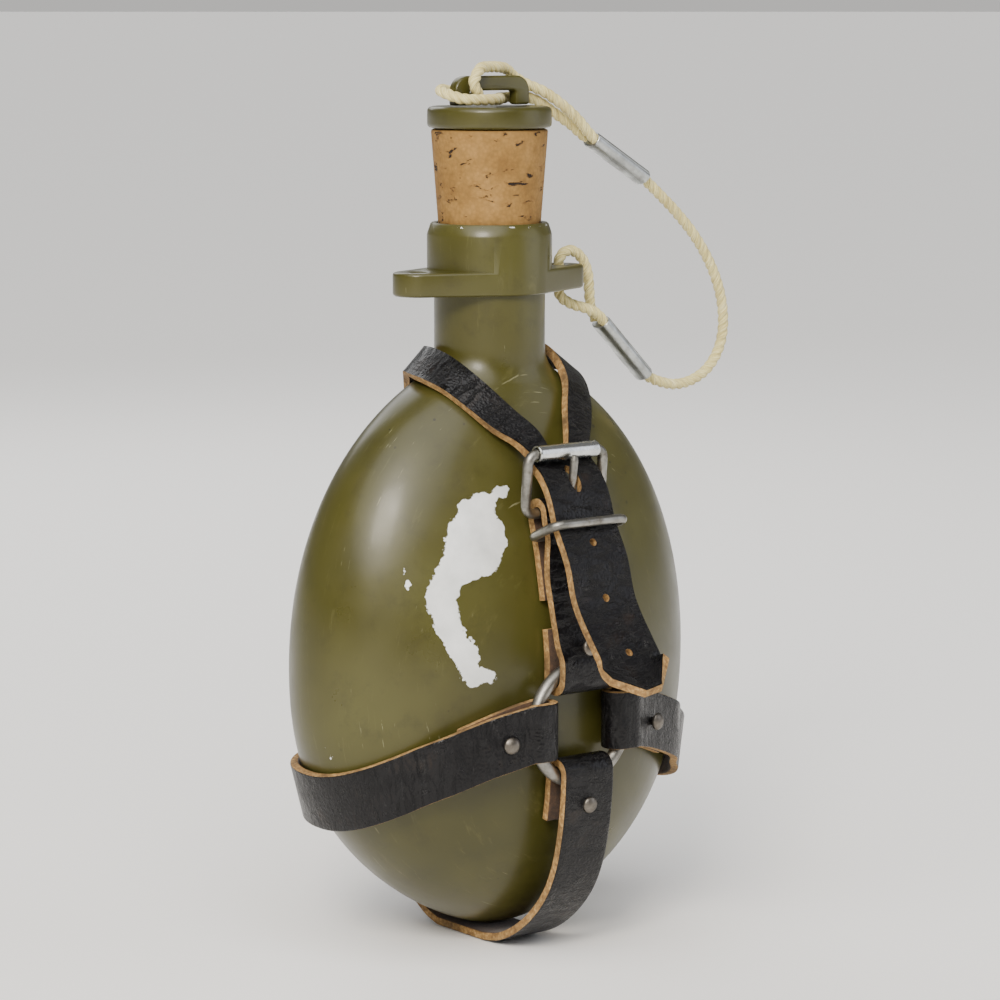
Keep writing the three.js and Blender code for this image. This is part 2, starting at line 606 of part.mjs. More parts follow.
const buckleBack = buckleStrapPath();
const bottomPath = bottomStrapPath();
const bottomFlap = bottomPath.slice(-5);
const RIVETS = {
  rivet_buckle_lower: uprightRivet(buckleBack.slice(0, 5), 90.5, 8.7),
  rivet_buckle_upper: uprightRivet(buckleBack.slice(-7), 112, 6.6),
  rivet_girth_left: girthRivet(-22.5, 8),
  rivet_girth_right: girthRivet(22.3, 7.6),
  rivet_bottom_front: uprightRivet(bottomFlap, 47, 9.4),
  rivet_rear_girth: { foot: new THREE.Vector3(HARNESS_X, 38.3, 47), outward: new THREE.Vector3(0, 1, 0), grip: 5.1 },
  rivet_rear_lower: uprightRivet(bottomPath.slice(0, 5), 76, 9),
  rivet_loop_upper: uprightRivet(rearTailPath(), 136, 5.2),
};
const clearance = (...names) => names.map((name) => placed(clearanceOutline(RIVETS[name].grip), RIVETS[name]));

// --------------------------------------------------------------------------- buckle

// The prong is a wire eye round the hinge bar with a straight finger that rises through the
// tongue and rests on the roller.
function buckleProng() {
  const eyeRadius = BUCKLE.wire + GAP + PRONG.wire;
  const eye = new THREE.TorusGeometry(eyeRadius, PRONG.wire, 8, 24).rotateY(Math.PI / 2);
  const start = new THREE.Vector3(0, -eyeRadius, -0.6);
  const end = new THREE.Vector3(0, -5.3, BUCKLE.height - 0.9);
  const along = end.clone().sub(start);
  const finger = new THREE.CylinderGeometry(PRONG.wire, PRONG.wire, along.length(), 8);
  finger.applyQuaternion(new THREE.Quaternion().setFromUnitVectors(new THREE.Vector3(0, 1, 0), along.normalize()));
  const middle = start.add(end).multiplyScalar(0.5);
  return toGeometry(joined([eye, finger.translate(middle.x, middle.y, middle.z)]));
}

function buckleRoller() {
  const bore = BUCKLE.wire + GAP;
  const { halfLength, radius } = ROLLER;
  const tube = turned([
    [bore, -halfLength], [radius, -halfLength], [radius, halfLength], [bore, halfLength], [bore, -halfLength],
  ], 24);
  return tube.rotateY(Math.PI / 2);
}

// ------------------------------------------------------------------------- assembly

function part(name, geometry, material) {
  const mesh = new THREE.Mesh(geometry, material);
  mesh.name = name;
  return mesh;
}

function flaskGroup() {
  const group = new THREE.Group();
  group.add(part('bottle_shell', bottleShell(), olivePaint));
  group.add(part('neck_collar', neckCollar(), olivePaint));
  return group;
}

function stopperGroup() {
  const group = new THREE.Group();
  const bail = part('cap_bail', capBail(), olivePaint);
  bail.position.z = CAP.top + GAP;
  const stud = cylinder(STUD.radius, STUD.bottom, STUD.top, 16);
  group.add(part('stopper_cap', stopperCap(), olivePaint), bail, part('cork', corkBody(), corkBark));
  group.add(part('stopper_stud', stud, aluminium));
  group.add(part('stopper_washer', stopperWasher(), aluminium));
  group.add(part('stopper_nut', stopperNut(), aluminium));
  return group;
}

function lanyardGroup() {
  const group = new THREE.Group();
  group.add(part('lanyard_upper_eye', cord(UPPER_EYE_ROUTE, 60), cordFibre));
  group.add(part('upper_ferrule', ferrule(UPPER_FERRULE), aluminium));
  group.add(part('lanyard_run', cord(RUN_ROUTE, 24), cordFibre));
  group.add(part('lower_ferrule', ferrule(LOWER_FERRULE), aluminium));
  group.add(part('lanyard_lower_eye', cord(LOWER_EYE_ROUTE, 30), cordFibre));
  return group;
}

function buckleGroup() {
  const group = new THREE.Group();
  group.position.set(HARNESS_X, BUCKLE.y, BUCKLE.z);
  const loop = wireLoop(BUCKLE.halfWidth, BUCKLE.height / 2, BUCKLE.corner, BUCKLE.wire);
  const frame = part('buckle_frame', loop.translate(0, BUCKLE.height / 2, 0), steel);
  frame.rotation.x = Math.PI / 2 + Math.atan2(-BUCKLE.lean, BUCKLE.height);
  const roller = part('buckle_roller', buckleRoller(), steel);
  roller.position.set(0, BUCKLE.lean, BUCKLE.height);
  group.add(frame, roller, part('buckle_prong', buckleProng(), steel));
  return group;
}

function harnessGroup() {
  const group = new THREE.Group();
  const ring = part('harness_ring', new THREE.TorusGeometry(RING.radius, RING.wire, 8, 40), steel);
  ring.position.set(HARNESS_X, RING.y, RING.z);
  ring.rotation.x = Math.PI / 2;
  const keeperWire = wireLoop(KEEPER.halfWidth, KEEPER.halfDepth, KEEPER.corner, KEEPER.wire);
  const keeper = part('keeper_loop', keeperWire, steel);
  keeper.position.set(HARNESS_X, KEEPER.y, KEEPER.z);
  keeper.rotation.x = -KEEPER.tilt;
  group.add(ring, keeper, buckleGroup());
  const beltLoop = cut(toSolid(uprightStrap(BELT_LOOP_PATH, BELT_LOOP_WIDTH)),
    clearance('rivet_rear_lower', 'rivet_loop_upper'));
  group.add(part('buckle_strap', buckleStrap(clearance('rivet_buckle_lower', 'rivet_buckle_upper')), leather));
  group.add(part('bottom_strap',
    bottomStrap(clearance('rivet_bottom_front', 'rivet_rear_girth', 'rivet_rear_lower')), leather));
  group.add(part('girth_strap',
    girthStrap(clearance('rivet_girth_left', 'rivet_girth_right', 'rivet_rear_girth')), leather));
  group.add(part('yoke_strap', yokeStrap(clearance('rivet_rear_lower', 'rivet_loop_upper')), leather));
  group.add(part('belt_loop', toGeometry(beltLoop), leather));
  for (const [name, rivet] of Object.entries(RIVETS)) {
    group.add(part(name, placed(rivetOutline(rivet.grip), rivet), steel));
  }
  return group;
}

const group = new THREE.Group();
group.add(flaskGroup(), stopperGroup(), lanyardGroup(), harnessGroup());

export default group;
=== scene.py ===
import math

import bpy
from mathutils import Matrix, Vector


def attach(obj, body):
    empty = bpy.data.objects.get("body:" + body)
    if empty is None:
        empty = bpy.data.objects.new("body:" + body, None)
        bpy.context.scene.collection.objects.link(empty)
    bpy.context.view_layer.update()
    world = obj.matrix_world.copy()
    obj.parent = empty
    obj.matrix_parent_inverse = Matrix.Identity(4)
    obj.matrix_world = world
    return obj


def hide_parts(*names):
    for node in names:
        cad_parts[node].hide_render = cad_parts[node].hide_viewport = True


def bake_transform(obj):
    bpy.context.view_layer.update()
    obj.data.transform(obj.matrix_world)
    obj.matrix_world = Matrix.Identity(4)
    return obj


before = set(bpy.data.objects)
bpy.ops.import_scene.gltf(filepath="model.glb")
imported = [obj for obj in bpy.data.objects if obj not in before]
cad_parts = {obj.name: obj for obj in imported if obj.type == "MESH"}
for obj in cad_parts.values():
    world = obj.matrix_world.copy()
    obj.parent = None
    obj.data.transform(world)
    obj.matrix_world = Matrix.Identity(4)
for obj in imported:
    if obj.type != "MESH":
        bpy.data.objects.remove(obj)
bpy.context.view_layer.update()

MM = 0.001

# Sizes and places, in millimetres. A wire is given by its radius.
GAP = 0.3  # clearance between pieces that touch
LEATHER = 2.4
MIDDLE = -1.5  # the upright straps run this far to the side of the flask's middle
FLASK = dict(half_width=66, half_depth=38.5, foot=2.7, belly=82, shoulder=163, neck=173, neck_radius=16.0)
RING = dict(radius=16.6, wire=1.9, y=-43.4, z=68.9)
BUCKLE = dict(half_width=13.5, height=17, corner=3, wire=1.5, y=-35.4, z=128.5, lean=-1.5)
ROLLER = dict(bore=1.8, radius=2.2, half_length=10.7)
PRONG = dict(wire=1.2, eye=3.0)
KEEPER = dict(half_width=12.8, half_depth=6.2, corner=3, wire=1.3, y=-42.5, z=124.4, tilt=0.4)
LUG = dict(x=25.3, radius=7.5, hole=2.4)
YOKE_HALF = 10.5
SLIT_HALF = 3
TONGUE_TIP = 82.6
BUCKLE_STRAP_WIDTH = 18.5
BOTTOM_STRAP_WIDTH = 17.5
BELT_LOOP_WIDTH = 20
GIRTH = dict(z=68.45, drop=21.45, half_width=8.25)
CORD_DIAMETER = 3.3


# ---------------------------------------------------------------- small tools

def scaled(points):
    """Points given in millimetres, as vectors in metres."""
    return [Vector(p) * MM for p in points]


def linear(colour_hex):
    """An sRGB hex value as the linear colour that a shader wants."""
    channels = [int(colour_hex[i:i + 2], 16) / 255 for i in (1, 3, 5)]
    return (*(c / 12.92 if c <= 0.04045 else ((c + 0.055) / 1.055) ** 2.4 for c in channels), 1)


def spline(points, step=None, count=None):
    """Points spaced evenly along a centripetal Catmull-Rom curve through the given points."""
    ends = [points[0] * 2 - points[1], *points, points[-1] * 2 - points[-2]]
    fine = []
    for p0, p1, p2, p3 in zip(ends, ends[1:], ends[2:], ends[3:]):
        t1 = (p1 - p0).length ** 0.5
        t2 = t1 + (p2 - p1).length ** 0.5
        t3 = t2 + (p3 - p2).length ** 0.5
        for i in range(16):
            t = t1 + (t2 - t1) * i / 16
            a1 = p0.lerp(p1, t / t1)
            a2 = p1.lerp(p2, (t - t1) / (t2 - t1))
            a3 = p2.lerp(p3, (t - t2) / (t3 - t2))
            b1 = a1.lerp(a2, t / t2)
            b2 = a2.lerp(a3, (t - t1) / (t3 - t1))
            fine.append(b1.lerp(b2, (t - t1) / (t2 - t1)))
    fine.append(points[-1])
    return resampled(fine, step, count)


def resampled(fine, step=None, count=None):
    """Evenly spaced points on a path, by a number of steps or by their length."""
    reach = [0.0]
    for a, b in zip(fine, fine[1:]):
        reach.append(reach[-1] + (b - a).length)
    count = count or max(2, round(reach[-1] / step))
    even, k = [], 0
    for i in range(count + 1):
        want = reach[-1] * i / count
        while k < len(fine) - 2 and reach[k + 1] < want:
            k += 1
        span = reach[k + 1] - reach[k]
        even.append(fine[k].lerp(fine[k + 1], (want - reach[k]) / span if span else 0))
    return even


def only(piece):
    """Selects this piece alone and makes it active."""
    bpy.ops.object.select_all(action="DESELECT")
    piece.select_set(True)
    bpy.context.view_layer.objects.active = piece


def apply_modifiers(piece):
    """Every modifier goes into the mesh, in the order they were added."""
    only(piece)
    for modifier in list(piece.modifiers):
        bpy.ops.object.modifier_apply(modifier=modifier.name)


def settle(piece):
    """The piece's place goes into its mesh, so that its object sits at the origin."""
    only(piece)
    bpy.ops.object.transform_apply(location=True, rotation=True, scale=True)


def smooth(piece, degrees=35):
    only(piece)
    bpy.ops.object.shade_smooth_by_angle(angle=math.radians(degrees))


def recalculated(piece):
    """Merges doubles and turns every face outwards."""
    only(piece)
    bpy.ops.object.mode_set(mode="EDIT")
    bpy.ops.mesh.select_all(action="SELECT")
    bpy.ops.mesh.remove_doubles(threshold=1e-6)
    bpy.ops.mesh.normals_make_consistent(inside=False)
    bpy.ops.object.mode_set(mode="OBJECT")


def joined(pieces):
    """Several pieces as one object, the first of them."""
    only(pieces[0])
    for piece in pieces:
        piece.select_set(True)
    bpy.ops.object.join()
    return pieces[0]


def combine(piece, others, operation="DIFFERENCE"):
    """Cuts the others from the piece, or adds them to it."""
    for other in others:
        only(piece)
        change = piece.modifiers.new("change", "BOOLEAN")
        change.operation, change.object, change.solver = operation, other, "EXACT"
        bpy.ops.object.modifier_apply(modifier=change.name)
        bpy.data.objects.remove(other, do_unlink=True)


def rod(x, radius, bottom, top, sides):
    """An upright round bar of these millimetres, for building and cutting."""
    bpy.ops.mesh.primitive_cylinder_add(vertices=sides, radius=radius * MM, depth=(top - bottom) * MM,
                                        location=(x * MM, 0, (bottom + top) / 2 * MM))
    bar = bpy.context.object
    settle(bar)
    return bar


def finished(piece, name, body, materials, stands_for):
    """Names a piece and says which body it rides and the nodes that it replaces."""
    piece.name = piece.data.name = name
    if not piece.data.materials:
        for material in materials:
            piece.data.materials.append(material)
    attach(piece, body)
    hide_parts(*stands_for)
    return piece


# ---------------------------------------------------------------- camera, floor and light

def add_camera():
    """Level with the neck, 38 degrees round from the buckle's side, looking a little down."""
    turn, dip = math.radians(38), math.radians(8)
    look = Vector((math.sin(turn) * math.cos(dip), math.cos(turn) * math.cos(dip), -math.sin(dip)))
    bpy.ops.object.camera_add(location=(-math.sin(turn), -math.cos(turn), 0.268))
    camera = bpy.context.object
    camera.rotation_euler = look.to_track_quat("-Z", "Y").to_euler()
    camera.data.lens = 125.3
    camera.data.shift_x = 0.0105
    bpy.context.scene.camera = camera


def add_light(name, place, size, power, colour):
    bpy.ops.object.light_add(type="AREA", location=place)
    light = bpy.context.object
    light.name = name
    light.data.size = size
    light.data.energy = power
    light.data.color = linear(colour)[:3]
    aim = Vector((0, 0, 0.13)) - Vector(place)
    light.rotation_euler = aim.to_track_quat("-Z", "Y").to_euler()


def add_studio():
    """A soft overhead light that whitens the whole floor, and a few panels for the highlights.
    The world is brighter just above the horizon, to come nearer to the floor's tone there."""
    bpy.ops.object.light_add(type="SUN", location=(-1, -1, 2),
                             rotation=(math.radians(38), 0, math.radians(-50)))
    sky = bpy.context.object.data
    sky.energy = 3.4
    sky.angle = math.radians(70)
    add_light("key_light", (-0.95, -0.75, 0.95), 0.45, 19, "#fff6e8")
    add_light("fill_light", (0.95, -0.85, 0.55), 0.9, 4, "#f2f5ff")
    add_light("back_light", (0.3, 1.0, 0.9), 0.9, 6, "#ffffff")
    world = bpy.data.worlds.new("studio")
    world.use_nodes = True
    tree = world.node_tree
    tree.nodes["Background"].inputs["Color"].default_value = linear("#f1efec")
    height = add(tree, "ShaderNodeSeparateXYZ", [("Vector", place_of(tree, "Generated"))]).outputs["Z"]
    tree.links.new(ramp(tree, height, (0.01, grey(0.66)), (0.04, grey(0.2))),
                   tree.nodes["Background"].inputs["Strength"])
    bpy.context.scene.world = world
    bpy.ops.mesh.primitive_plane_add(size=4000, location=(0, 0, -0.0002))
    floor = bpy.context.object
    floor.name = floor.data.name = "floor"
    settle(floor)
    paper = bpy.data.materials.new("matt_backdrop_paper")
    paper.use_nodes = True
    shader = paper.node_tree.nodes["Principled BSDF"]
    shader.inputs["Base Color"].default_value = linear("#faf8f5")
    shader.inputs["Roughness"].default_value = 0.9
    floor.data.materials.append(paper)


# ---------------------------------------------------------------- materials

def new_material(name, **shader_values):
    """A material whose shader starts from these constants, such as IOR=1.4."""
    material = bpy.data.materials.new(name)
    material.use_nodes = True
    shader = material.node_tree.nodes["Principled BSDF"]
    for socket, value in shader_values.items():
        shader.inputs[socket.replace("_", " ")].default_value = value
    return material, material.node_tree, shader


def add(tree, kind, links=(), stops=(), **settings):
    """Adds a node. links holds (input, value or output of another node), stops a ramp's colours."""
    node = tree.nodes.new(kind)
    for name, value in settings.items():
        setattr(node, name, value)
    for socket, value in links:
        if isinstance(value, bpy.types.NodeSocket):
            tree.links.new(value, node.inputs[socket])
        else:
            node.inputs[socket].default_value = value
    for i, (position, colour) in enumerate(stops):
        elements = node.color_ramp.elements
        stop = elements[i] if i < 2 else elements.new(position)
        stop.position = position
        stop.color = colour
    return node


def grey(value):
    return (value, value, value, 1)


def place_of(tree, coordinates="Object"):
    return add(tree, "ShaderNodeTexCoord").outputs[coordinates]


def noise(tree, where, size, detail=4, rough=0.55, distortion=0.0):
    """Noise whose blobs are about this many metres across."""
    node = add(tree, "ShaderNodeTexNoise", [
        ("Vector", where), ("Scale", 0.6 / size), ("Detail", detail),
        ("Roughness", rough), ("Distortion", distortion)])
    return node.outputs["Fac"]


def ramp(tree, value, *stops):
    return add(tree, "ShaderNodeValToRGB", [("Fac", value)], stops).outputs["Color"]


def maths(tree, operation, a, b=0.0):
    return add(tree, "ShaderNodeMath", [(0, a), (1, b)], operation=operation).outputs[0]


def mix(tree, factor, a, b, blend="MIX"):
    node = add(tree, "ShaderNodeMix", [(0, factor), (6, a), (7, b)], data_type="RGBA", blend_type=blend)
    return node.outputs[2]


def bump(tree, height, distance):
    return add(tree, "ShaderNodeBump", [("Height", height), ("Distance", distance)]).outputs["Normal"]


# Where the enamel has flaked off the flask, as chains of round spots (x, y, z, radius) in
# millimetres: a large sickle beside the buckle strap, then a few small chips.
FLAKES = [
    [(-15.2, -27.4, 135.2, 0.7), (-18.6, -27.2, 133.9, 1.5), (-22.6, -26.9, 132, 3),
     (-27, -26.8, 128.4, 4.8), (-28.6, -28.1, 123.1, 7), (-30.8, -28.8, 117.8, 6.8),
     (-36.4, -28.1, 112.1, 4.8), (-38.8, -28.2, 106.8, 4), (-38.4, -29.6, 99.9, 3.8),
     (-36.2, -31.3, 93.9, 3.6), (-32.8, -33.2, 87.8, 3.3), (-31.6, -33.7, 84.6, 3),
     (-27.2, -34.9, 84.4, 1.9)],
    [(-23.4, -28.5, 130, 2.6), (-22.2, -29.8, 125.6, 3.6), (-21.8, -30.6, 120, 3.4),
     (-25.4, -30.6, 113.6, 2)],
    [(-47.6, -21.1, 117.1, 0.1), (-47.4, -22.2, 113.8, 0.5), (-46.9, -23.3, 110.6, 0.9)],
    [(29.5, -30.3, 113.4, 0.1), (30.6, -30.1, 113, 0.3)],
    [(35.2, -28.1, 114.3, 0.2), (36, -27.9, 115.4, 0.3)],
    [(-64.1, -5.2, 65.6, 0.1), (-62.9, -7, 62.2, 0.5), (-61.7, -8.1, 59, 0)]]
FARTHEST = 9.0  # millimetres, past which the enamel has no use for the distance


def flake_distance(place):
    """Millimetres from the nearest flake's edge, negative inside it."""
    nearest = FARTHEST
    for chain in FLAKES:
        for first, second in zip(chain, chain[1:]):
            a, b = Vector(first[:3]), Vector(second[:3])
            t = min(max((place - a).dot(b - a) / (b - a).length_squared, 0), 1)
            radius = first[3] + (second[3] - first[3]) * t
            nearest = min(nearest, (place - a.lerp(b, t)).length - radius)
    return nearest


def mark_flakes(piece):
    """Stores each vertex's distance, for the enamel to read."""
    layer = piece.data.attributes.new("flake_distance", "FLOAT", "POINT")
    for vertex in piece.data.vertices:
        layer.data[vertex.index].value = flake_distance(vertex.co / MM)


def flake_mask(tree, where):
    """1 where the paint has come off the flask, with ragged edges."""
    distance = add(tree, "ShaderNodeAttribute", attribute_name="flake_distance").outputs["Fac"]
    ragged = maths(tree, "MULTIPLY", maths(tree, "SUBTRACT", noise(tree, where, 3 * MM, 6, 0.7), 0.5), 7.5)
    return maths(tree, "LESS_THAN", maths(tree, "ADD", distance, ragged), 0)


def olive_enamel(name, flaked, wear):
    """Stoved olive enamel, sprayed and handled for years: a satin gloss that goes from green to
    brown in slow patches, with hairline scratches, specks of dirt and chips down to the metal.
    wear lists (height, width, amount) for the edges that have rubbed bare, in metres."""
    material, tree, shader = new_material(name, Coat_Weight=0.1, Coat_Roughness=0.14, IOR=1.42)
    where = place_of(tree)
    patches = noise(tree, where, 34 * MM, 3, 0.6)
    colour = ramp(tree, patches, (0.3, linear("#353311")), (0.52, linear("#423f18")),
                  (0.72, linear("#4c4a22")))
    grime = noise(tree, where, 5 * MM, 8, 0.72)
    colour = mix(tree, ramp(tree, grime, (0.52, grey(0)), (0.74, grey(0.5))), colour, linear("#2e2a0e"))
    smear = add(tree, "ShaderNodeMapping", [
        ("Vector", where), ("Rotation", (0.5, 0.2, 0.7)), ("Scale", (1, 9, 1))])
    streaks = noise(tree, smear.outputs[0], 7 * MM, 5, 0.7)
    colour = mix(tree, ramp(tree, streaks, (0.6, grey(0)), (0.78, grey(0.34))), colour, linear("#6d6a41"))
    hair = add(tree, "ShaderNodeMapping", [
        ("Vector", where), ("Rotation", (0.9, -0.4, 0.3)), ("Scale", (1, 40, 3))])
    hairlines = noise(tree, hair.outputs[0], 11 * MM, 3, 0.5)
    scratched = ramp(tree, hairlines, (0.7, grey(0)), (0.725, grey(0.7)))
    sparse = ramp(tree, noise(tree, where, 15 * MM, 2), (0.5, grey(0)), (0.62, grey(1)))
    scratched = maths(tree, "MULTIPLY", scratched, sparse)
    colour = mix(tree, scratched, colour, linear("#8a8766"))
    specks = add(tree, "ShaderNodeTexVoronoi", [("Vector", where), ("Scale", 1 / (6.5 * MM))])
    speck_size = maths(tree, "MULTIPLY", noise(tree, where, 9 * MM, 2), 0.15)
    speck = maths(tree, "LESS_THAN", maths(tree, "ADD", specks.outputs["Distance"], 0.012), speck_size)
    dark_speck = maths(tree, "MULTIPLY", speck, sparse)
    colour = mix(tree, maths(tree, "MULTIPLY", dark_speck, 0.8), colour, linear("#1a1608"))
    bare = flake_mask(tree, where) if flaked else None
    chipping = noise(tree, where, 2.6 * MM, 6, 0.7)
    height = add(tree, "ShaderNodeSeparateXYZ", [(0, where)]).outputs["Z"]
    for edge, width, amount in wear:
        off = maths(tree, "DIVIDE", maths(tree, "ABSOLUTE", maths(tree, "SUBTRACT", height, edge)), width)
        rubbed = maths(tree, "SUBTRACT", chipping, maths(tree, "MULTIPLY", off, 0.3))
        rubbed = maths(tree, "GREATER_THAN", rubbed, 1 - amount)
        patchy = ramp(tree, noise(tree, where, 8 * MM, 2), (0.48, grey(0)), (0.52, grey(1)))
        rubbed = maths(tree, "MULTIPLY", rubbed, patchy)
        bare = maths(tree, "MAXIMUM", bare, rubbed) if bare else rubbed
    metal_tone = ramp(tree, noise(tree, where, 6 * MM, 4), (0.3, linear("#d9dbd8")),
                      (0.7, linear("#f6f7f5")))
    rough = ramp(tree, noise(tree, where, 12 * MM, 5), (0.3, grey(0.27)), (0.7, grey(0.42)))
    rough = maths(tree, "ADD", rough, maths(tree, "MULTIPLY", scratched, 0.2))
    skin = maths(tree, "MULTIPLY", noise(tree, where, 1.1 * MM, 3), 0.012 * MM)
    dents = maths(tree, "MULTIPLY", noise(tree, where, 26 * MM, 2), 0.5 * MM)
    relief = maths(tree, "ADD", skin, dents)
    if bare:
        colour = mix(tree, bare, colour, metal_tone)
        relief = maths(tree, "SUBTRACT", relief, maths(tree, "MULTIPLY", bare, 0.09 * MM))
        tree.links.new(maths(tree, "MULTIPLY", bare, 0.35), shader.inputs["Metallic"])
        rough = maths(tree, "ADD", rough, maths(tree, "MULTIPLY", bare, 0.14))
    tree.links.new(colour, shader.inputs["Base Color"])
    tree.links.new(rough, shader.inputs["Roughness"])
    tree.links.new(bump(tree, relief, 1), shader.inputs["Normal"])
    return material


def natural_cork():
    """Punched natural cork: warm tan, fine grains, and dark lenticels that run across it."""
    material, tree, shader = new_material("natural_cork", IOR=1.4)
    where = place_of(tree)
    colour = ramp(tree, noise(tree, where, 8 * MM, 6, 0.7), (0.32, linear("#725225")),
                  (0.5, linear("#866533")), (0.7, linear("#987542")))
    grains = add(tree, "ShaderNodeTexVoronoi", [("Vector", where), ("Scale", 1 / (1.1 * MM))])
    grain = ramp(tree, grains.outputs["Distance"], (0.0, grey(0.9)), (0.9, grey(0.25)))
    colour = mix(tree, 0.22, colour, grain, "OVERLAY")
    level = add(tree, "ShaderNodeMapping", [
        ("Vector", where), ("Rotation", (0, 0.5, 0)), ("Scale", (1, 1, 2.3))])
    pits = noise(tree, level.outputs[0], 2.8 * MM, 5, 0.6, 0.5)
    pit = ramp(tree, pits, (0.625, grey(0)), (0.665, grey(1)))
    stain = ramp(tree, pits, (0.55, grey(0)), (0.66, grey(0.55)))
    colour = mix(tree, stain, colour, linear("#6e4a22"))
    colour = mix(tree, pit, colour, linear("#1c1006"))
    relief = maths(tree, "SUBTRACT", maths(tree, "MULTIPLY", grains.outputs["Distance"], 0.05 * MM),
                   maths(tree, "MULTIPLY", pit, 0.5 * MM))
    tree.links.new(colour, shader.inputs["Base Color"])
    shader.inputs["Roughness"].default_value = 0.8
    tree.links.new(bump(tree, relief, 1), shader.inputs["Normal"])
    return material


def sisal_twine():
    """Three-strand sisal: straw yellow, with fine fibres that follow each strand."""
    material, tree, shader = new_material("sisal_twine", Sheen_Weight=0.2, Sheen_Roughness=0.5)
    along = place_of(tree, "UV")
    fibres = add(tree, "ShaderNodeMapping", [("Vector", along), ("Scale", (1.0, 0.09, 1))])
    threads = noise(tree, fibres.outputs[0], 0.28 * MM, 4, 0.7)
    where = place_of(tree)
    colour = ramp(tree, threads, (0.3, linear("#a08c50")), (0.5, linear("#d2c585")),
                  (0.7, linear("#efe7b8")))
    soil = ramp(tree, noise(tree, where, 9 * MM, 4), (0.5, grey(0)), (0.75, grey(0.45)))
    colour = mix(tree, soil, colour, linear("#97814a"))
    tree.links.new(colour, shader.inputs["Base Color"])
    shader.inputs["Roughness"].default_value = 0.82
    tree.links.new(bump(tree, threads, 0.12 * MM), shader.inputs["Normal"])
    return material


def black_harness_leather():
    """Vegetable-tanned cowhide, dyed black and greased: pebbled grain with creases across the
    strap, a bluish shine on the high spots, and brown where the dye has worn."""
    material, tree, shader = new_material("black_harness_leather", Specular_IOR_Level=0.28)
    along = place_of(tree, "UV")
    where = place_of(tree)
    pebbles = add(tree, "ShaderNodeTexVoronoi", [("Vector", along), ("Scale", 1 / (0.85 * MM))])
    grain = ramp(tree, pebbles.outputs["Distance"], (0.0, grey(1)), (0.75, grey(0)))
    across = add(tree, "ShaderNodeMapping", [("Vector", along), ("Scale", (0.28, 1, 1))])
    creases = noise(tree, across.outputs[0], 1.5 * MM, 6, 0.72, 0.8)
    crease = ramp(tree, creases, (0.36, grey(0)), (0.5, grey(1)))
    tone = noise(tree, where, 7 * MM, 5, 0.65)
    colour = ramp(tree, tone, (0.3, linear("#060506")), (0.55, linear("#0c0b0d")), (0.75, linear("#151414")))
    worn = ramp(tree, maths(tree, "MULTIPLY", tone, creases), (0.3, grey(0)), (0.42, grey(0.5)))
    colour = mix(tree, worn, colour, linear("#241a13"))
    tree.links.new(colour, shader.inputs["Base Color"])
    rough = ramp(tree, noise(tree, where, 4 * MM, 4), (0.3, grey(0.24)), (0.7, grey(0.4)))
    tree.links.new(rough, shader.inputs["Roughness"])
    relief = maths(tree, "ADD", maths(tree, "MULTIPLY", grain, 0.11 * MM),
                   maths(tree, "MULTIPLY", crease, 0.26 * MM))
    slow = maths(tree, "MULTIPLY", noise(tree, where, 6 * MM, 3), 0.35 * MM)
    tree.links.new(bump(tree, maths(tree, "ADD", relief, slow), 1), shader.inputs["Normal"])
    return material


def cut_leather_edge():
    """The cut edge of the hide: undyed tan fibres, darker where hands and grease have been."""
    material, tree, shader = new_material("cut_leather_edge")
    where = place_of(tree)
    fibres = noise(tree, where, 0.7 * MM, 5, 0.75)
    colour = ramp(tree, fibres, (0.3, linear("#5d4126")), (0.5, linear("#93703f")), (0.68, linear("#c3a068")))
    dark = ramp(tree, noise(tree, where, 6 * MM, 4), (0.46, grey(0)), (0.68, grey(0.7)))
    colour = mix(tree, dark, colour, linear("#3a2a18"))
    tree.links.new(colour, shader.inputs["Base Color"])
    shader.inputs["Roughness"].default_value = 0.8
    tree.links.new(bump(tree, fibres, 0.25 * MM), shader.inputs["Normal"])
    return material


def leather_flesh_side():
    """The flesh side of the hide: dull brown suede with a short nap."""
    material, tree, shader = new_material("leather_flesh_side", Sheen_Weight=0.15)
    where = place_of(tree)
    nap = noise(tree, where, 0.9 * MM, 6, 0.75)
    colour = ramp(tree, nap, (0.3, linear("#2a1d14")), (0.55, linear("#4a3422")), (0.75, linear("#6a4b31")))
    tree.links.new(colour, shader.inputs["Base Color"])
    shader.inputs["Roughness"].default_value = 0.9
    tree.links.new(bump(tree, nap, 0.2 * MM), shader.inputs["Normal"])
    return material


def aged_metal(name, dark, light, rough_low, rough_high, tarnish, grain_mm):
    """Metal that has dulled in use: a tarnish in slow patches over fine drawing lines."""
    material, tree, shader = new_material(name, Metallic=1.0)
    where = place_of(tree)
    patches = noise(tree, where, 4 * MM, 6, 0.68)
    colour = ramp(tree, patches, (0.32, linear(dark)), (0.66, linear(light)))
    stain = ramp(tree, noise(tree, where, 2.2 * MM, 5, 0.7), (0.54, grey(0)), (0.7, grey(tarnish)))
    colour = mix(tree, stain, colour, linear("#4a3a28"))
    tree.links.new(colour, shader.inputs["Base Color"])
    rough = ramp(tree, patches, (0.3, grey(rough_high)), (0.7, grey(rough_low)))
    rough = maths(tree, "ADD", rough, maths(tree, "MULTIPLY", stain, 0.3))
    tree.links.new(rough, shader.inputs["Roughness"])
    grain = noise(tree, where, grain_mm * MM, 4, 0.7)
    tree.links.new(bump(tree, grain, 0.03 * MM), shader.inputs["Normal"])
    return material


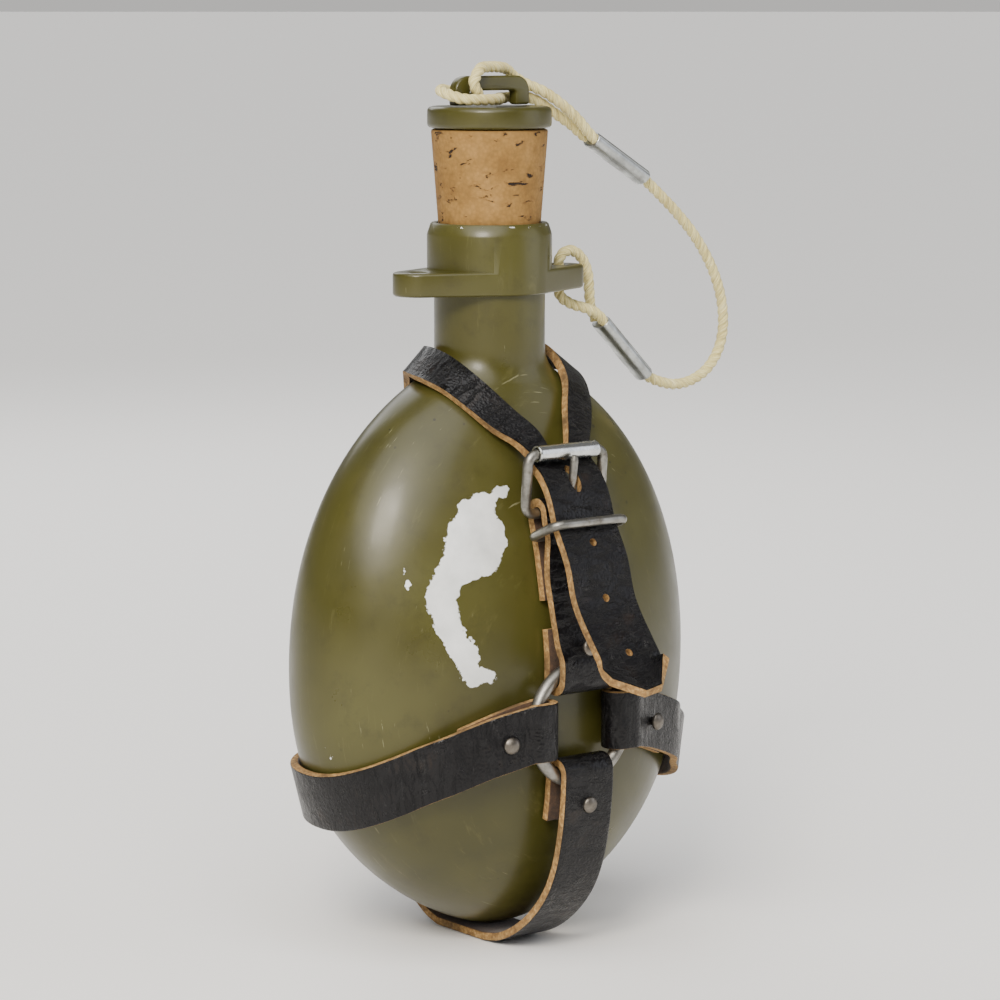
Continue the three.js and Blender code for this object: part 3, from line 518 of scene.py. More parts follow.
flask_enamel = olive_enamel("olive_enamel_flask", True, [])
collar_enamel = olive_enamel("olive_enamel_collar", False,
                             [(0.2074, 1.5 * MM, 0.42), (0.1942, 0.9 * MM, 0.34)])
cap_enamel = olive_enamel("olive_enamel_cap", False,
                          [(0.2405, 0.7 * MM, 0.33), (0.2353, 0.7 * MM, 0.33)])
cork_material = natural_cork()
twine = sisal_twine()
LEATHERS = [black_harness_leather(), cut_leather_edge(), leather_flesh_side()]
# Steel wire, hand rubbed to a dull brown grey.
wire_steel = aged_metal("drawn_steel_wire", "#6c6a64", "#a3a19a", 0.3, 0.5, 0.55, 0.5)
# Rolled and nickelled steel sheet, still bright.
nickel = aged_metal("nickelled_steel_sheet", "#c3c6c4", "#eceeec", 0.16, 0.3, 0.25, 0.4)
# Steel rivet heads, darkened by handling.
rivet_steel = aged_metal("domed_steel_rivet", "#504b45", "#8b857c", 0.28, 0.5, 0.5, 0.6)
# Soft aluminium tube, crimped, with a dull oxide skin.
crimped_aluminium = aged_metal("crimped_aluminium", "#8d8f8d", "#c3c6c4", 0.26, 0.44, 0.3, 0.4)


# ---------------------------------------------------------------- lanyard

# Each sleeve from its eye's end to the run's end, then the middle of the cord, eye to eye.
UPPER_FERRULE = scaled([(37.5, 0, 231), (57.8, 0, 218.9)])
LOWER_FERRULE = scaled([(41.4, 0, 177.3), (58.8, 0, 160.1)])
UPPER_EYE = scaled([
    (37.2, 1.75, 231.2), (34.9, 1.9, 232.8), (32, 2.5, 235.2), (26.5, 3.3, 238.6), (21, 4, 242),
    (17.5, 4.6, 243.2), (13, 4.6, 243.4), (8.5, 4.2, 243.2), (5.2, 2.2, 243.2), (3.2, -0.4, 243.2),
    (0.4, -4, 243.1), (-4, -6.7, 243.1), (-9, -6.7, 243.1), (-13.6, -4.9, 243.4), (-16, -1.8, 244.6),
    (-15.9, 2, 245.6), (-12.8, 4.6, 245.8), (-9, 4.7, 244.9), (-6.4, 3.2, 243.9), (-5.7, 0.4, 243.4),
    (-5.9, -2.2, 243.5), (-7.4, -4, 245), (-8.7, -4.3, 246.8), (-8.9, -4.3, 248.4), (-7.8, -4.1, 250.2),
    (-5.2, -2.7, 251.9), (-1, -0.5, 252.2), (4, 1.2, 252.1), (8.5, 3.2, 251.5), (12.2, 4.4, 249.4),
    (15.8, 3.3, 247.2), (21, 1.2, 244.8), (26.5, -0.8, 240.8), (31.5, -1.6, 236.6),
    (34.9, -1.75, 233.2), (37.2, -1.75, 231.2)])
RUN = scaled([
    (58.1, 0, 218.7), (62.3, 0, 215.4), (70.1, 0, 209), (77.1, 0, 202.3), (82.2, 0, 196),
    (86, 0, 189.8), (88.6, 0, 183.6), (89.9, 0, 177.6), (89.9, 0, 171.6), (88, 0, 165.6),
    (83.6, 0, 160.4), (77.4, 0, 157.4), (70.8, 0, 156.6), (64.4, 0, 157.9), (59.05, 0, 160)])
LOWER_EYE = scaled([
    (41.1, -1.75, 177.6), (38.6, -1.75, 179.8), (34.4, -1.5, 181.6), (29.8, -0.8, 183),
    (26.2, -0.2, 185.4), (25.3, 0, 189.4), (25.3, 0, 193.4), (26.6, 0.2, 197.2), (30.4, 0.6, 198.6),
    (34.6, 1, 196.6), (37.6, 1.4, 192), (38.6, 1.7, 186.6), (39.2, 1.75, 181.6), (41.1, 1.75, 177.6)])


def twisted_twine(name, path, strand_turn=7.6 * MM):
    """Three strands laid together: the section is three lobes that turn as the twine goes on."""
    sides, lobe, step = 30, 0.15, 0.5 * MM
    radius = CORD_DIAMETER * MM / 2 / (1 + lobe)
    round_it = 10.4 * MM
    points = resampled(path, step=step)
    vertices, faces, uv = [], [], []
    tangent = (points[1] - points[0]).normalized()
    side = tangent.orthogonal().normalized()
    reach = 0.0
    for k, centre in enumerate(points):
        ahead = (points[min(k + 1, len(points) - 1)] - points[max(k - 1, 0)]).normalized()
        side = tangent.rotation_difference(ahead) @ side
        tangent = ahead
        reach += (centre - points[max(k - 1, 0)]).length
        third = tangent.cross(side)
        phase = 2 * math.pi * reach / strand_turn
        for i in range(sides):
            angle = 2 * math.pi * i / sides
            out = radius * (1 + lobe * (2 * abs(math.cos(1.5 * angle)) ** 0.8 - 1))
            vertices.append(centre + out * (math.cos(angle + phase) * side + math.sin(angle + phase) * third))
        if k:
            low, high = reach - step, reach
            for i in range(sides):
                j = (i + 1) % sides
                faces.append(((k - 1) * sides + i, (k - 1) * sides + j, k * sides + j, k * sides + i))
                u0, u1 = i / sides * round_it, (i + 1) / sides * round_it
                uv += [(u0, low), (u1, low), (u1, high), (u0, high)]
    faces.append(tuple(range(sides))[::-1])
    faces.append(tuple(range(len(vertices) - sides, len(vertices))))
    uv += [(0, 0)] * (2 * sides)
    mesh = bpy.data.meshes.new(name)
    mesh.from_pydata(vertices, [], faces)
    layer = mesh.uv_layers.new(name="along")
    for loop, value in zip(layer.data, uv):
        loop.uv = value
    piece = bpy.data.objects.new(name, mesh)
    bpy.context.collection.objects.link(piece)
    smooth(piece, 80)
    return piece


def make_ferrule(name, ends, body, node):
    """A short tube squeezed oval on the two strands, with rolled ends and a seam along it."""
    eye_end, run_end = ends
    along = run_end - eye_end
    length = along.length - 2 * GAP * MM
    bpy.ops.mesh.primitive_cylinder_add(vertices=40, radius=1, depth=length)
    piece = bpy.context.object
    piece.scale = (2.5 * MM, 3.5 * MM, 1)
    settle(piece)
    bpy.ops.object.mode_set(mode="EDIT")
    for side in (1, -1):
        bpy.ops.mesh.select_all(action="SELECT")
        bpy.ops.mesh.bisect(plane_co=(0, 0, side * length * 0.2), plane_no=(0, 0, 1))
    bpy.ops.object.mode_set(mode="OBJECT")
    rounding = piece.modifiers.new("rolled_end", "BEVEL")
    rounding.width, rounding.segments, rounding.limit_method = 0.45 * MM, 3, "ANGLE"
    apply_modifiers(piece)
    # The seam, a groove that runs the length of the sleeve where the sheet meets itself.
    bpy.ops.mesh.primitive_cylinder_add(vertices=12, radius=0.28 * MM, depth=length * 1.2,
                                        location=(-1.2 * MM, -3.15 * MM, 0))
    combine(piece, [bpy.context.object])
    along.normalize()
    sideways = Vector((0, 1, 0))
    turn = Matrix((sideways.cross(along), sideways, along)).transposed()
    piece.matrix_world = Matrix.Translation((eye_end + run_end) / 2) @ turn.to_4x4()
    settle(piece)
    smooth(piece, 40)
    return finished(piece, name, body, [crimped_aluminium], [node])


def make_lanyard():
    eye = spline(UPPER_EYE, step=0.6 * MM)
    run = spline(RUN, step=0.6 * MM)
    low = spline(LOWER_EYE, step=0.6 * MM)
    inner = [UPPER_FERRULE[0].lerp(UPPER_FERRULE[1], k / 6) for k in range(1, 6)]
    outer = [LOWER_FERRULE[1].lerp(LOWER_FERRULE[0], k / 6) for k in range(1, 6)]
    route = eye + inner + run + outer + low
    piece = twisted_twine("lanyard", route)
    upper = make_ferrule("upper_sleeve", UPPER_FERRULE, "stopper", "upper_ferrule")
    lower = make_ferrule("lower_sleeve", LOWER_FERRULE, "bottle", "lower_ferrule")
    piece.data.materials.append(twine)
    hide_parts("lanyard_upper_eye", "lanyard_run", "lanyard_lower_eye")
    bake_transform(piece)
    path = [tuple(p) for p in resampled(route, step=0.62 * MM)]


# ---------------------------------------------------------------- flask and stopper

def loft(sections, segments=128, bottom=True, top=True):
    """Rings of (half width, half depth, height), each extruded from the one before."""
    wide, deep, height = sections[0]
    bpy.ops.object.select_all(action="DESELECT")
    bpy.ops.mesh.primitive_circle_add(vertices=segments, radius=1)
    piece = bpy.context.object
    piece.scale, piece.location = (wide, deep, 1), (0, 0, height)
    settle(piece)
    bpy.ops.object.mode_set(mode="EDIT")
    if bottom:
        bpy.ops.mesh.select_all(action="SELECT")
        bpy.ops.mesh.extrude_region_move()
        bpy.ops.mesh.merge(type="CENTER")
        bpy.ops.object.mode_set(mode="OBJECT")
        for edge in piece.data.edges:
            edge.select = all(v < segments for v in edge.vertices)
        for vertex in piece.data.vertices:
            vertex.select = vertex.index < segments
        for face in piece.data.polygons:
            face.select = False
        bpy.ops.object.mode_set(mode="EDIT")
    else:
        bpy.ops.mesh.select_all(action="SELECT")
    for (w0, d0, z0), (w1, d1, z1) in zip(sections, sections[1:]):
        bpy.ops.mesh.extrude_region_move(TRANSFORM_OT_translate={"value": (0, 0, z1 - z0)})
        bpy.ops.transform.resize(value=(w1 / w0, d1 / d0, 1), center_override=(0, 0, z1))
    if top:
        bpy.ops.mesh.extrude_region_move()
        bpy.ops.mesh.merge(type="CENTER")
    bpy.ops.object.mode_set(mode="OBJECT")
    recalculated(piece)
    return piece


def turned(profile, segments=96, bottom=True, top=True):
    """A turned piece from (radius, height) pairs in millimetres."""
    return loft([(r * MM, r * MM, z * MM) for r, z in profile], segments, bottom, top)


def egg(z, half, below, above):
    """The flask's half axis at height z. below and above hold a reach and two powers each."""
    reach, p, q = below if z < FLASK["belly"] else above
    u = min(abs(z - FLASK["belly"]) / reach, 1)
    return half * (1 - u ** p) ** q


def flask_axis(z, half, below, above):
    """The half axis of the belly, blended smoothly into the round neck."""
    shoulder, neck, radius = FLASK["shoulder"], FLASK["neck"], FLASK["neck_radius"]
    if z <= shoulder:
        return egg(z, half, below, above)
    if z >= neck:
        return radius
    rise = neck - shoulder
    t = (z - shoulder) / rise
    start = egg(shoulder, half, below, above)
    slope = (start - egg(shoulder - 0.5, half, below, above)) / 0.5
    fall = 2 * t ** 3 - 3 * t ** 2 + 1
    return fall * start + (t ** 3 - 2 * t ** 2 + t) * slope * rise + (1 - fall) * radius


def flask_width(z):
    return flask_axis(z, FLASK["half_width"], (79.8, 2.2, 0.66), (87, 2.2, 0.53))


def flask_depth(z):
    return flask_axis(z, FLASK["half_depth"], (79.8, 4, 0.66), (105, 1.7, 0.8))


def make_flask():
    """The drawn shell, lofted in its outer skin and given its wall inwards."""
    foot, belly, shoulder, neck = FLASK["foot"], FLASK["belly"], FLASK["shoulder"], FLASK["neck"]
    lower = [foot + (belly - foot) * (k / 44) ** 1.8 for k in range(1, 45)]
    upper = [belly + (shoulder - belly) * (1 - (1 - k / 48) ** 1.35) for k in range(1, 49)]
    heights = [foot + 0.12, *lower, *upper, *range(shoulder + 1, neck + 1), 180, 190, 206.2]
    sections = [(flask_width(z) * MM, flask_depth(z) * MM, z * MM) for z in heights]
    piece = loft(sections, segments=224, top=False)
    wall = piece.modifiers.new("drawn_wall", "SOLIDIFY")
    wall.thickness, wall.offset = 1.0 * MM, -1
    apply_modifiers(piece)
    mark_flakes(piece)
    smooth(piece, 50)
    finished(piece, "flask", "bottle", [flask_enamel], ["bottle_shell"])


def from_frame(node, name, body, material, rounding, degrees, segments):
    """A copy of a framework piece, merged into one skin and with its sharp edges rounded."""
    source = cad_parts[node]
    piece = source.copy()
    piece.data = source.data.copy()
    piece.animation_data_clear()
    bpy.context.collection.objects.link(piece)
    piece.data.materials.clear()
    only(piece)
    bpy.ops.object.mode_set(mode="EDIT")
    bpy.ops.mesh.select_all(action="SELECT")
    bpy.ops.mesh.remove_doubles(threshold=1e-6)
    bpy.ops.mesh.tris_convert_to_quads(face_threshold=0.02, shape_threshold=0.7)
    bpy.ops.mesh.dissolve_limited(angle_limit=0.01)
    bpy.ops.object.mode_set(mode="OBJECT")
    edge = piece.modifiers.new("rounded", "BEVEL")
    edge.width, edge.segments, edge.limit_method = rounding * MM, segments, "ANGLE"
    edge.angle_limit = math.radians(degrees)
    apply_modifiers(piece)
    smooth(piece, degrees)
    return finished(piece, name, body, [material], [node])


def make_stopper():
    """The lid, the tapered cork and the loop that the lanyard is tied to."""
    cap = turned([(2.85, 238.3), (2.85, 234.9), (16.4, 234.9), (17.3, 235.1), (17.75, 235.6),
                  (17.85, 236.3), (17.85, 239.6), (17.7, 240.3), (17.2, 240.85), (16.4, 241.08),
                  (15.6, 240.95), (13, 240.8)])
    smooth(cap, 50)
    finished(cap, "stopper_lid", "stopper", [cap_enamel], ["stopper_cap"])
    taper = [(13.75 + 3 * (k / 20), 194.6 + 39.3 * (k / 20)) for k in range(21)]
    plug = turned([(2.8, 234.6), (2.8, 194), (13.0, 194), (13.5, 194.15), *taper, (16.6, 234.4),
                   (16.2, 234.6), (2.8001, 234.6)], bottom=False, top=False)
    smooth(plug, 50)
    finished(plug, "cork_plug", "stopper", [cork_material], ["cork"])
    from_frame("cap_bail", "cap_loop", "stopper", cap_enamel, 0.7, 35, 3)


def make_collar():
    """The ring round the mouth and the plate with its two holed lugs, as one casting."""
    ring = turned([(16.3, 188.05), (17.7, 188.05), (18, 188.35), (18, 204.5), (17.85, 205.1), (17, 207.6),
                   (16.6, 208), (15.35, 208), (15.15, 207.8), (15.15, 206.5), (16.3, 206.5),
                   (16.3001, 188.05)], bottom=False, top=False)
    lug, radius = LUG["x"], LUG["radius"]
    discs = [rod(x, size, 188, 194.8, 96) for x, size in ((0, 18), (lug, radius), (-lug, radius))]
    plate = joined(discs)
    bpy.ops.object.mode_set(mode="EDIT")
    bpy.ops.mesh.select_all(action="SELECT")
    bpy.ops.mesh.convex_hull()
    bpy.ops.mesh.select_all(action="SELECT")
    bpy.ops.mesh.dissolve_limited(angle_limit=math.radians(0.5))
    bpy.ops.object.mode_set(mode="OBJECT")
    combine(plate, [rod(x, LUG["hole"], 180, 200, 40) for x in (lug, -lug)])
    edge = plate.modifiers.new("cast_edge", "BEVEL")
    edge.width, edge.segments, edge.limit_method = 0.9 * MM, 4, "ANGLE"
    apply_modifiers(plate)
    combine(plate, [rod(0, 17.1, 180, 200, 90)])
    combine(plate, [ring], "UNION")
    smooth(plate, 35)
    finished(plate, "lug_collar", "bottle", [collar_enamel], ["neck_collar"])


# ---------------------------------------------------------------- wire and sheet metal

def wire_rectangle(half_width, half_height, corner, wire):
    """A rounded rectangle of wire in the XY plane, sized in millimetres."""
    bpy.ops.object.select_all(action="DESELECT")
    bpy.ops.mesh.primitive_plane_add(size=2)
    piece = bpy.context.object
    piece.scale = (half_width * MM, half_height * MM, 1)
    settle(piece)
    bpy.ops.object.mode_set(mode="EDIT")
    bpy.ops.mesh.select_all(action="SELECT")
    bpy.ops.mesh.bevel(affect="VERTICES", offset=corner * MM, segments=10, profile=0.5)
    bpy.ops.mesh.delete(type="ONLY_FACE")
    bpy.ops.object.mode_set(mode="OBJECT")
    only(piece)
    bpy.ops.object.convert(target="CURVE")
    piece = bpy.context.object
    piece.data.bevel_depth = wire * MM
    piece.data.bevel_resolution = 5
    bpy.ops.object.convert(target="MESH")
    piece = bpy.context.object
    recalculated(piece)
    smooth(piece, 60)
    return piece


def make_buckle():
    """The bow leans with the strap. The roller turns on its top bar, the prong on its lower one."""
    height = BUCKLE["height"]
    lean = math.atan2(-BUCKLE["lean"], height)
    origin = Vector((MIDDLE, BUCKLE["y"], BUCKLE["z"])) * MM
    bow = wire_rectangle(BUCKLE["half_width"], height / 2, BUCKLE["corner"], BUCKLE["wire"])
    bow.data.transform(Matrix.Translation(origin) @ Matrix.Rotation(math.pi / 2 + lean, 4, "X")
                       @ Matrix.Translation((0, height / 2 * MM, 0)))
    finished(bow, "buckle_bow", "buckle", [wire_steel], ["buckle_frame"])
    make_roller(origin + Vector((0, BUCKLE["lean"], height)) * MM)
    make_prong(origin)


def make_roller(place):
    """A strip of sheet rolled into a tube, with an open seam and its ends a little belled."""
    bore, radius, end = ROLLER["bore"], ROLLER["radius"], ROLLER["half_length"]
    tube = turned([(bore, -end), (radius, -end), (radius + 0.14, 0.2 - end), (radius + 0.1, 0.7 - end),
                   (radius + 0.1, end - 0.7), (radius + 0.14, end - 0.2), (radius, end), (bore, end),
                   (bore + 0.0001, -end)], 48, bottom=False, top=False)
    bpy.ops.mesh.primitive_cube_add(size=1, location=(1.9 * MM, 0, 0))
    seam = bpy.context.object
    seam.scale = (0.8 * MM, 0.16 * MM, 30 * MM)
    settle(seam)
    combine(tube, [seam])
    tube.data.transform(Matrix.Translation(place) @ Matrix.Rotation(math.pi / 2, 4, "Y"))
    smooth(tube, 40)
    finished(tube, "roller", "roller", [nickel], ["buckle_roller"])


def make_prong(origin):
    """A wire wound once round the hinge bar that ends in a straight finger on the roller."""
    finger = [(-5.3, 16.2), (-4.95, 13.5), (-4.3, 9), (-3.6, 4.4), (-3.08, 1.5)]
    turn = [math.radians(180 + 20 * k) for k in range(18)]
    eye = [(PRONG["eye"] * math.cos(a), PRONG["eye"] * math.sin(a)) for a in turn]
    route = spline(scaled([(0, y, z) for y, z in finger + eye]), step=0.5 * MM)
    bpy.ops.object.select_all(action="DESELECT")
    bpy.ops.curve.primitive_nurbs_path_add()
    piece = bpy.context.object
    piece.data.splines.clear()
    line = piece.data.splines.new("POLY")
    line.points.add(len(route) - 1)
    for k, (place, knot) in enumerate(zip(route, line.points)):
        knot.co = (*place, 1)
        # The finger's tip is hammered to a blunt point.
        knot.radius = min(1.0, 0.62 + 0.14 * k)
    piece.data.dimensions = "3D"
    piece.data.bevel_depth = PRONG["wire"] * MM
    piece.data.bevel_resolution = 5
    piece.data.use_fill_caps = True
    bpy.ops.object.convert(target="MESH")
    piece = bpy.context.object
    piece.data.transform(Matrix.Translation(origin))
    recalculated(piece)
    smooth(piece, 60)
    finished(piece, "prong", "prong", [wire_steel], ["buckle_prong"])


def make_keeper_and_ring():
    keeper = wire_rectangle(KEEPER["half_width"], KEEPER["half_depth"], KEEPER["corner"], KEEPER["wire"])
    keeper.data.transform(Matrix.Translation(Vector((MIDDLE, KEEPER["y"], KEEPER["z"])) * MM)
                          @ Matrix.Rotation(-KEEPER["tilt"], 4, "X"))
    finished(keeper, "keeper", "keeper", [wire_steel], ["keeper_loop"])
    bpy.ops.object.select_all(action="DESELECT")
    bpy.ops.mesh.primitive_torus_add(major_radius=RING["radius"] * MM, minor_radius=RING["wire"] * MM,
                                     major_segments=96, minor_segments=24,
                                     location=Vector((MIDDLE, RING["y"], RING["z"])) * MM,
                                     rotation=(math.pi / 2, 0, 0))
    ring = bpy.context.object
    settle(ring)
    smooth(ring, 60)
    finished(ring, "four_way_ring", "ring", [wire_steel], ["harness_ring"])


# ---------------------------------------------------------------- leather

# Paths of the upright straps are (y, z) pairs in millimetres, along the middle of the leather.
SNUG = 0.35 + LEATHER / 2
RING_TURN = RING["wire"] + GAP + LEATHER / 2
BAR_TURN = BUCKLE["wire"] + GAP + LEATHER / 2
LAYER = LEATHER + GAP


def on_flask(z, side, lift=0.0):
    """A point of a strap that lies on the front (-1) or the back (1) of the flask."""
    return (side * (flask_depth(z) + SNUG + lift), z)


def ring_fold(width):
    """How far from the ring's middle a fold of this width sits on its curved wire."""
    chord = math.sqrt(RING["radius"] ** 2 - (width / 2) ** 2)
    return chord - RING["wire"] * (RING["radius"] / chord - 1)


def arc(centre, radius, start, end, steps=12):
    """Points on an arc between two angles in degrees."""
    angles = [math.radians(start + (end - start) * k / steps) for k in range(steps + 1)]
    return [(centre[0] + radius * math.cos(a), centre[1] + radius * math.sin(a)) for a in angles]


def curve(pairs, step=1.6):
    """A smooth path through (y, z) pairs."""
    return [(p.x, p.y) for p in spline([Vector((y, z, 0)) for y, z in pairs], step=step)]


def leather(left, right, columns):
    """A strip of hide whose two edges follow these points. The pattern map runs in metres across
    and along the strip."""
    rows = len(left) - 1
    bpy.ops.object.select_all(action="DESELECT")
    bpy.ops.mesh.primitive_grid_add(x_subdivisions=columns, y_subdivisions=rows, size=1)
    piece = bpy.context.object
    reach = [0.0]
    middle = [(a + b) / 2 for a, b in zip(left, right)]
    for a, b in zip(middle, middle[1:]):
        reach.append(reach[-1] + (b - a).length)
    width = max((b - a).length for a, b in zip(left, right))
    mesh = piece.data
    cells = [(round((v.co.x + 0.5) * columns), round((v.co.y + 0.5) * rows)) for v in mesh.vertices]
    for vertex, (i, j) in zip(mesh.vertices, cells):
        vertex.co = left[j].lerp(right[j], i / columns)
    layer = mesh.uv_layers.active
    for loop in mesh.loops:
        i, j = cells[loop.vertex_index]
        layer.data[loop.index].uv = (width * i / columns, reach[j])
    for material in LEATHERS:
        mesh.materials.append(material)
    return piece


def thicken(piece, name, node, cutters=()):
    """Gives a strip its thickness, with grain outside, suede inside and a cut edge all round."""
    hide = piece.modifiers.new("hide", "SOLIDIFY")
    hide.thickness, hide.offset = LEATHER * MM, 0
    hide.use_even_offset = True
    hide.material_offset, hide.material_offset_rim = 2, 1
    apply_modifiers(piece)
    combine(piece, cutters)
    edge = piece.modifiers.new("worn_edge", "BEVEL")
    edge.width, edge.segments, edge.limit_method = 0.42 * MM, 2, "ANGLE"
    edge.angle_limit = math.radians(50)
    apply_modifiers(piece)
    smooth(piece, 45)
    finished(piece, name, "bottle", LEATHERS, [node])


def upright_edges(path, width):
    """The two edges of an upright strap of this width."""
    return [scaled([(MIDDLE + side * width / 2, y, z) for y, z in path]) for side in (-1, 1)]


def punch(place, outward, radius, stretch=1.0):
    """A cutter for a hole punched square through the leather, lined with its cut edge."""
    bpy.ops.mesh.primitive_cylinder_add(vertices=32, radius=radius * MM, depth=9 * MM)
    cutter = bpy.context.object
    cutter.scale = (1, stretch, 1)
    settle(cutter)
    cutter.data.transform(Matrix.Translation(place) @ outward.to_track_quat("Z", "Y").to_matrix().to_4x4())
    cutter.data.materials.append(LEATHERS[1])
    return cutter


def frame_on(path, z):
    """Place and outward direction on an upright strap's path at height z."""
    for (y0, z0), (y1, z1) in zip(path, path[1:]):
        if (z0 - z) * (z1 - z) <= 0 and z0 != z1:
            y = y0 + (y1 - y0) * (z - z0) / (z1 - z0)
            outward = Vector((0, -(z1 - z0), y1 - y0)).normalized()
            if outward.y * y < 0:
                outward.negate()
            return Vector((MIDDLE, y, z)) * MM, outward
    raise ValueError("the strap doesn't reach this height")


TONGUE = curve([(-75.4, TONGUE_TIP), (-69, 86), (-61.1, 94.7), (-53.8, 105), (-50.3, 115.8), (-44.6, 126.4),
                (-43, 131), (-41, 135.2), (-38.1, 138.9), (-34.3, 142), (-33.1, 144.6)], 1.2)
TONGUE_HOLES = [120.5, 105.6, 91.4]
PRONG_HOLE = 137.6
# The two edges of the yoke's right arm, as it goes round the neck from front to back.
INNER_EDGE = [
    (3, -33.1, 144.6), (5.2, -28.4, 150.2), (9.4, -22.8, 156), (14.6, -16.2, 163.4), (17.5, -7, 169.3),
    (18.1, 0, 171.6), (16.9, 6.6, 172), (13.2, 12.4, 171), (9.2, 17, 167), (6.2, 20.8, 161.5),
    (4.2, 24.4, 154.4), (3, 27.2, 145)]
OUTER_EDGE = [
    (10.5, -33.1, 144.6), (13.2, -28.6, 147.6), (17.4, -24, 151.2), (21.6, -18.4, 156.4),
    (25, -11.4, 161.4), (26.6, -4.4, 163.9), (26, 2.6, 164.9), (23.4, 8.8, 165), (20, 13.4, 163.6),
    (16.9, 17.4, 160.6), (14, 21, 156), (11.9, 24.2, 150.8), (10.5, 27, 145)]
REAR_TAIL = curve([
    (27.1, 145), on_flask(136, 1, 0.3), on_flask(124, 1, 0.2), on_flask(108, 1, 0.2), on_flask(94, 1, 0.6),
    on_flask(84, 1, LAYER + 0.3), on_flask(74, 1, LAYER + 0.4), on_flask(66, 1, LAYER + 1.4)])


def curled(x, y, z):
    """The tongue's free end has round corners; its left one hangs and its right one turns up."""
    end = max(0.0, 1 - (z - TONGUE_TIP) / 8)
    side = (x - MIDDLE) / YOKE_HALF
    corner = 7.0
    past = max(abs(side) * YOKE_HALF - (YOKE_HALF - corner), 0)
    cut = (corner - math.sqrt(corner ** 2 - past ** 2)) * end
    rise = (0.4 * side + 4.0 * max(side, 0) ** 1.3) * end ** 2
    return Vector((x, y + 0.86 * cut + 0.25 * rise, z + 0.5 * cut + rise))


def tongue_line(x):
    return [curled(x + MIDDLE, y, z) for y, z in TONGUE]


def tail_line(x):
    return [Vector((x + MIDDLE, y, z)) for y, z in REAR_TAIL[1:]]


def neck_line(side, edge):
    """One edge of the arm that passes the neck on this side."""
    points = [Vector((side * x, y, z)) for x, y, z in edge]
    points[0].x += MIDDLE
    points[-1].x += MIDDLE
    return spline(points, count=70)


def strip_between(first, second, columns):
    return leather([v * MM for v in first], [v * MM for v in second], columns)


def make_yoke():
    """One wide strap, slit down its middle so that the neck goes through it. Its front end is the
    buckle's tongue and its rear end runs down the back."""
    pieces = []
    for side in (-1, 1):
        lines = [tongue_line(side * x) + neck_line(side, edge)[1:] + tail_line(side * x)
                 for x, edge in ((SLIT_HALF, INNER_EDGE), (YOKE_HALF, OUTER_EDGE))]
        pieces.append(strip_between(*lines[::side], 5))
    for line in (tongue_line, tail_line):
        pieces.append(strip_between(line(-SLIT_HALF), line(SLIT_HALF), 4))
    yoke = joined(pieces)
    bpy.ops.object.mode_set(mode="EDIT")
    bpy.ops.mesh.select_all(action="SELECT")
    bpy.ops.mesh.remove_doubles(threshold=0.02 * MM)
    bpy.ops.object.mode_set(mode="OBJECT")
    holes = [punch(*frame_on(TONGUE, PRONG_HOLE), 1.9, 2.4)]
    holes += [punch(*frame_on(TONGUE, z), 1.15) for z in TONGUE_HOLES]
    thicken(yoke, "yoke", "yoke_strap", holes)


def buckle_strap_path():
    """Up from the ring's fold, round the buckle's hinge bar and down again behind itself."""
    fold = (RING["y"], RING["z"] + ring_fold(BUCKLE_STRAP_WIDTH))
    return [
        *curve([on_flask(96, -1), on_flask(91, -1, 0.1), (RING["y"] + RING_TURN - 0.1, fold[1] + 3)])[:-1],
        *arc(fold, RING_TURN, 0, -180),
        *curve([(-46.9, 84.4), (-46.75, 87.8), (-45, 91.2), (-43.3, 97), (-41.5, 104), (-40.1, 110),
                (-39.9, 117), (-40.2, 121.8), (-38.9, 126)]),
        *arc((BUCKLE["y"], BUCKLE["z"]), BAR_TURN, 180, 0),
        *curve([(-32.9, 125.5), on_flask(118, -1, 0.1), on_flask(111, -1), on_flask(104, -1)])]


def bottom_strap_path():
    """From the back, under the foot, up the front and through the ring."""
    fold = (RING["y"], RING["z"] - ring_fold(BOTTOM_STRAP_WIDTH))
    return [
        *curve([on_flask(84, 1, 0.2), on_flask(74, 1, 0.3), on_flask(66, 1, 1.2), (42.8, 58), (42.1, 47),
                (40.6, 36), (37, 24.5), (31.5, 15), (24.5, 7.6), (17.5, 3), (12, LEATHER / 2)]),
        (0, LEATHER / 2),
        *curve([(-10, LEATHER / 2), (-17, 2.6), (-24.5, 6.2), (-32, 12), (-38.3, 19.3), (-42.4, 27.5),
                (-44.8, 36.5), (-46, 44), (-46.6, 50)]),
        *arc(fold, RING_TURN, 180, 0),
        *curve([(-39.8, 52), on_flask(47, -1, 0.2), on_flask(41, -1, 0.1)])]


def girth_height(degrees):
    """The strap drops from the ring to the sides and runs level round the back."""
    side = 1 if abs(degrees) > 90 else max(abs(math.sin(math.radians(degrees))) - 0.2, 0) / 0.8
    return GIRTH["z"] - GIRTH["drop"] * side ** 1.4


def girth_lift(degrees):
    """How far the strap's middle stands off the flask: over its own flap, then out to the ring."""
    t = min(max((abs(degrees) - 35) / 13, 0), 1)
    over_flap = LAYER * (1 - t * t * (3 - 2 * t))
    from_ring = abs(FLASK["half_width"] * math.sin(math.radians(degrees)) - MIDDLE) - RING["radius"]
    near_ring = math.exp(-from_ring / 6) if abs(degrees) < 90 else 0
    return 1.9 + over_flap + 5.7 * near_ring


def girth_point(degrees, lift, side):
    """A point on the strap's upper (1) or lower (-1) edge. The lower edge hangs a little slack."""
    turn = math.radians(degrees)
    z = girth_height(degrees) + side * GIRTH["half_width"]
    slack = 3 * abs(math.sin(turn)) if side < 0 else 0
    return Vector(((flask_width(z) + lift + slack) * math.sin(turn),
                   -(flask_depth(z) + lift + slack) * math.cos(turn), z))


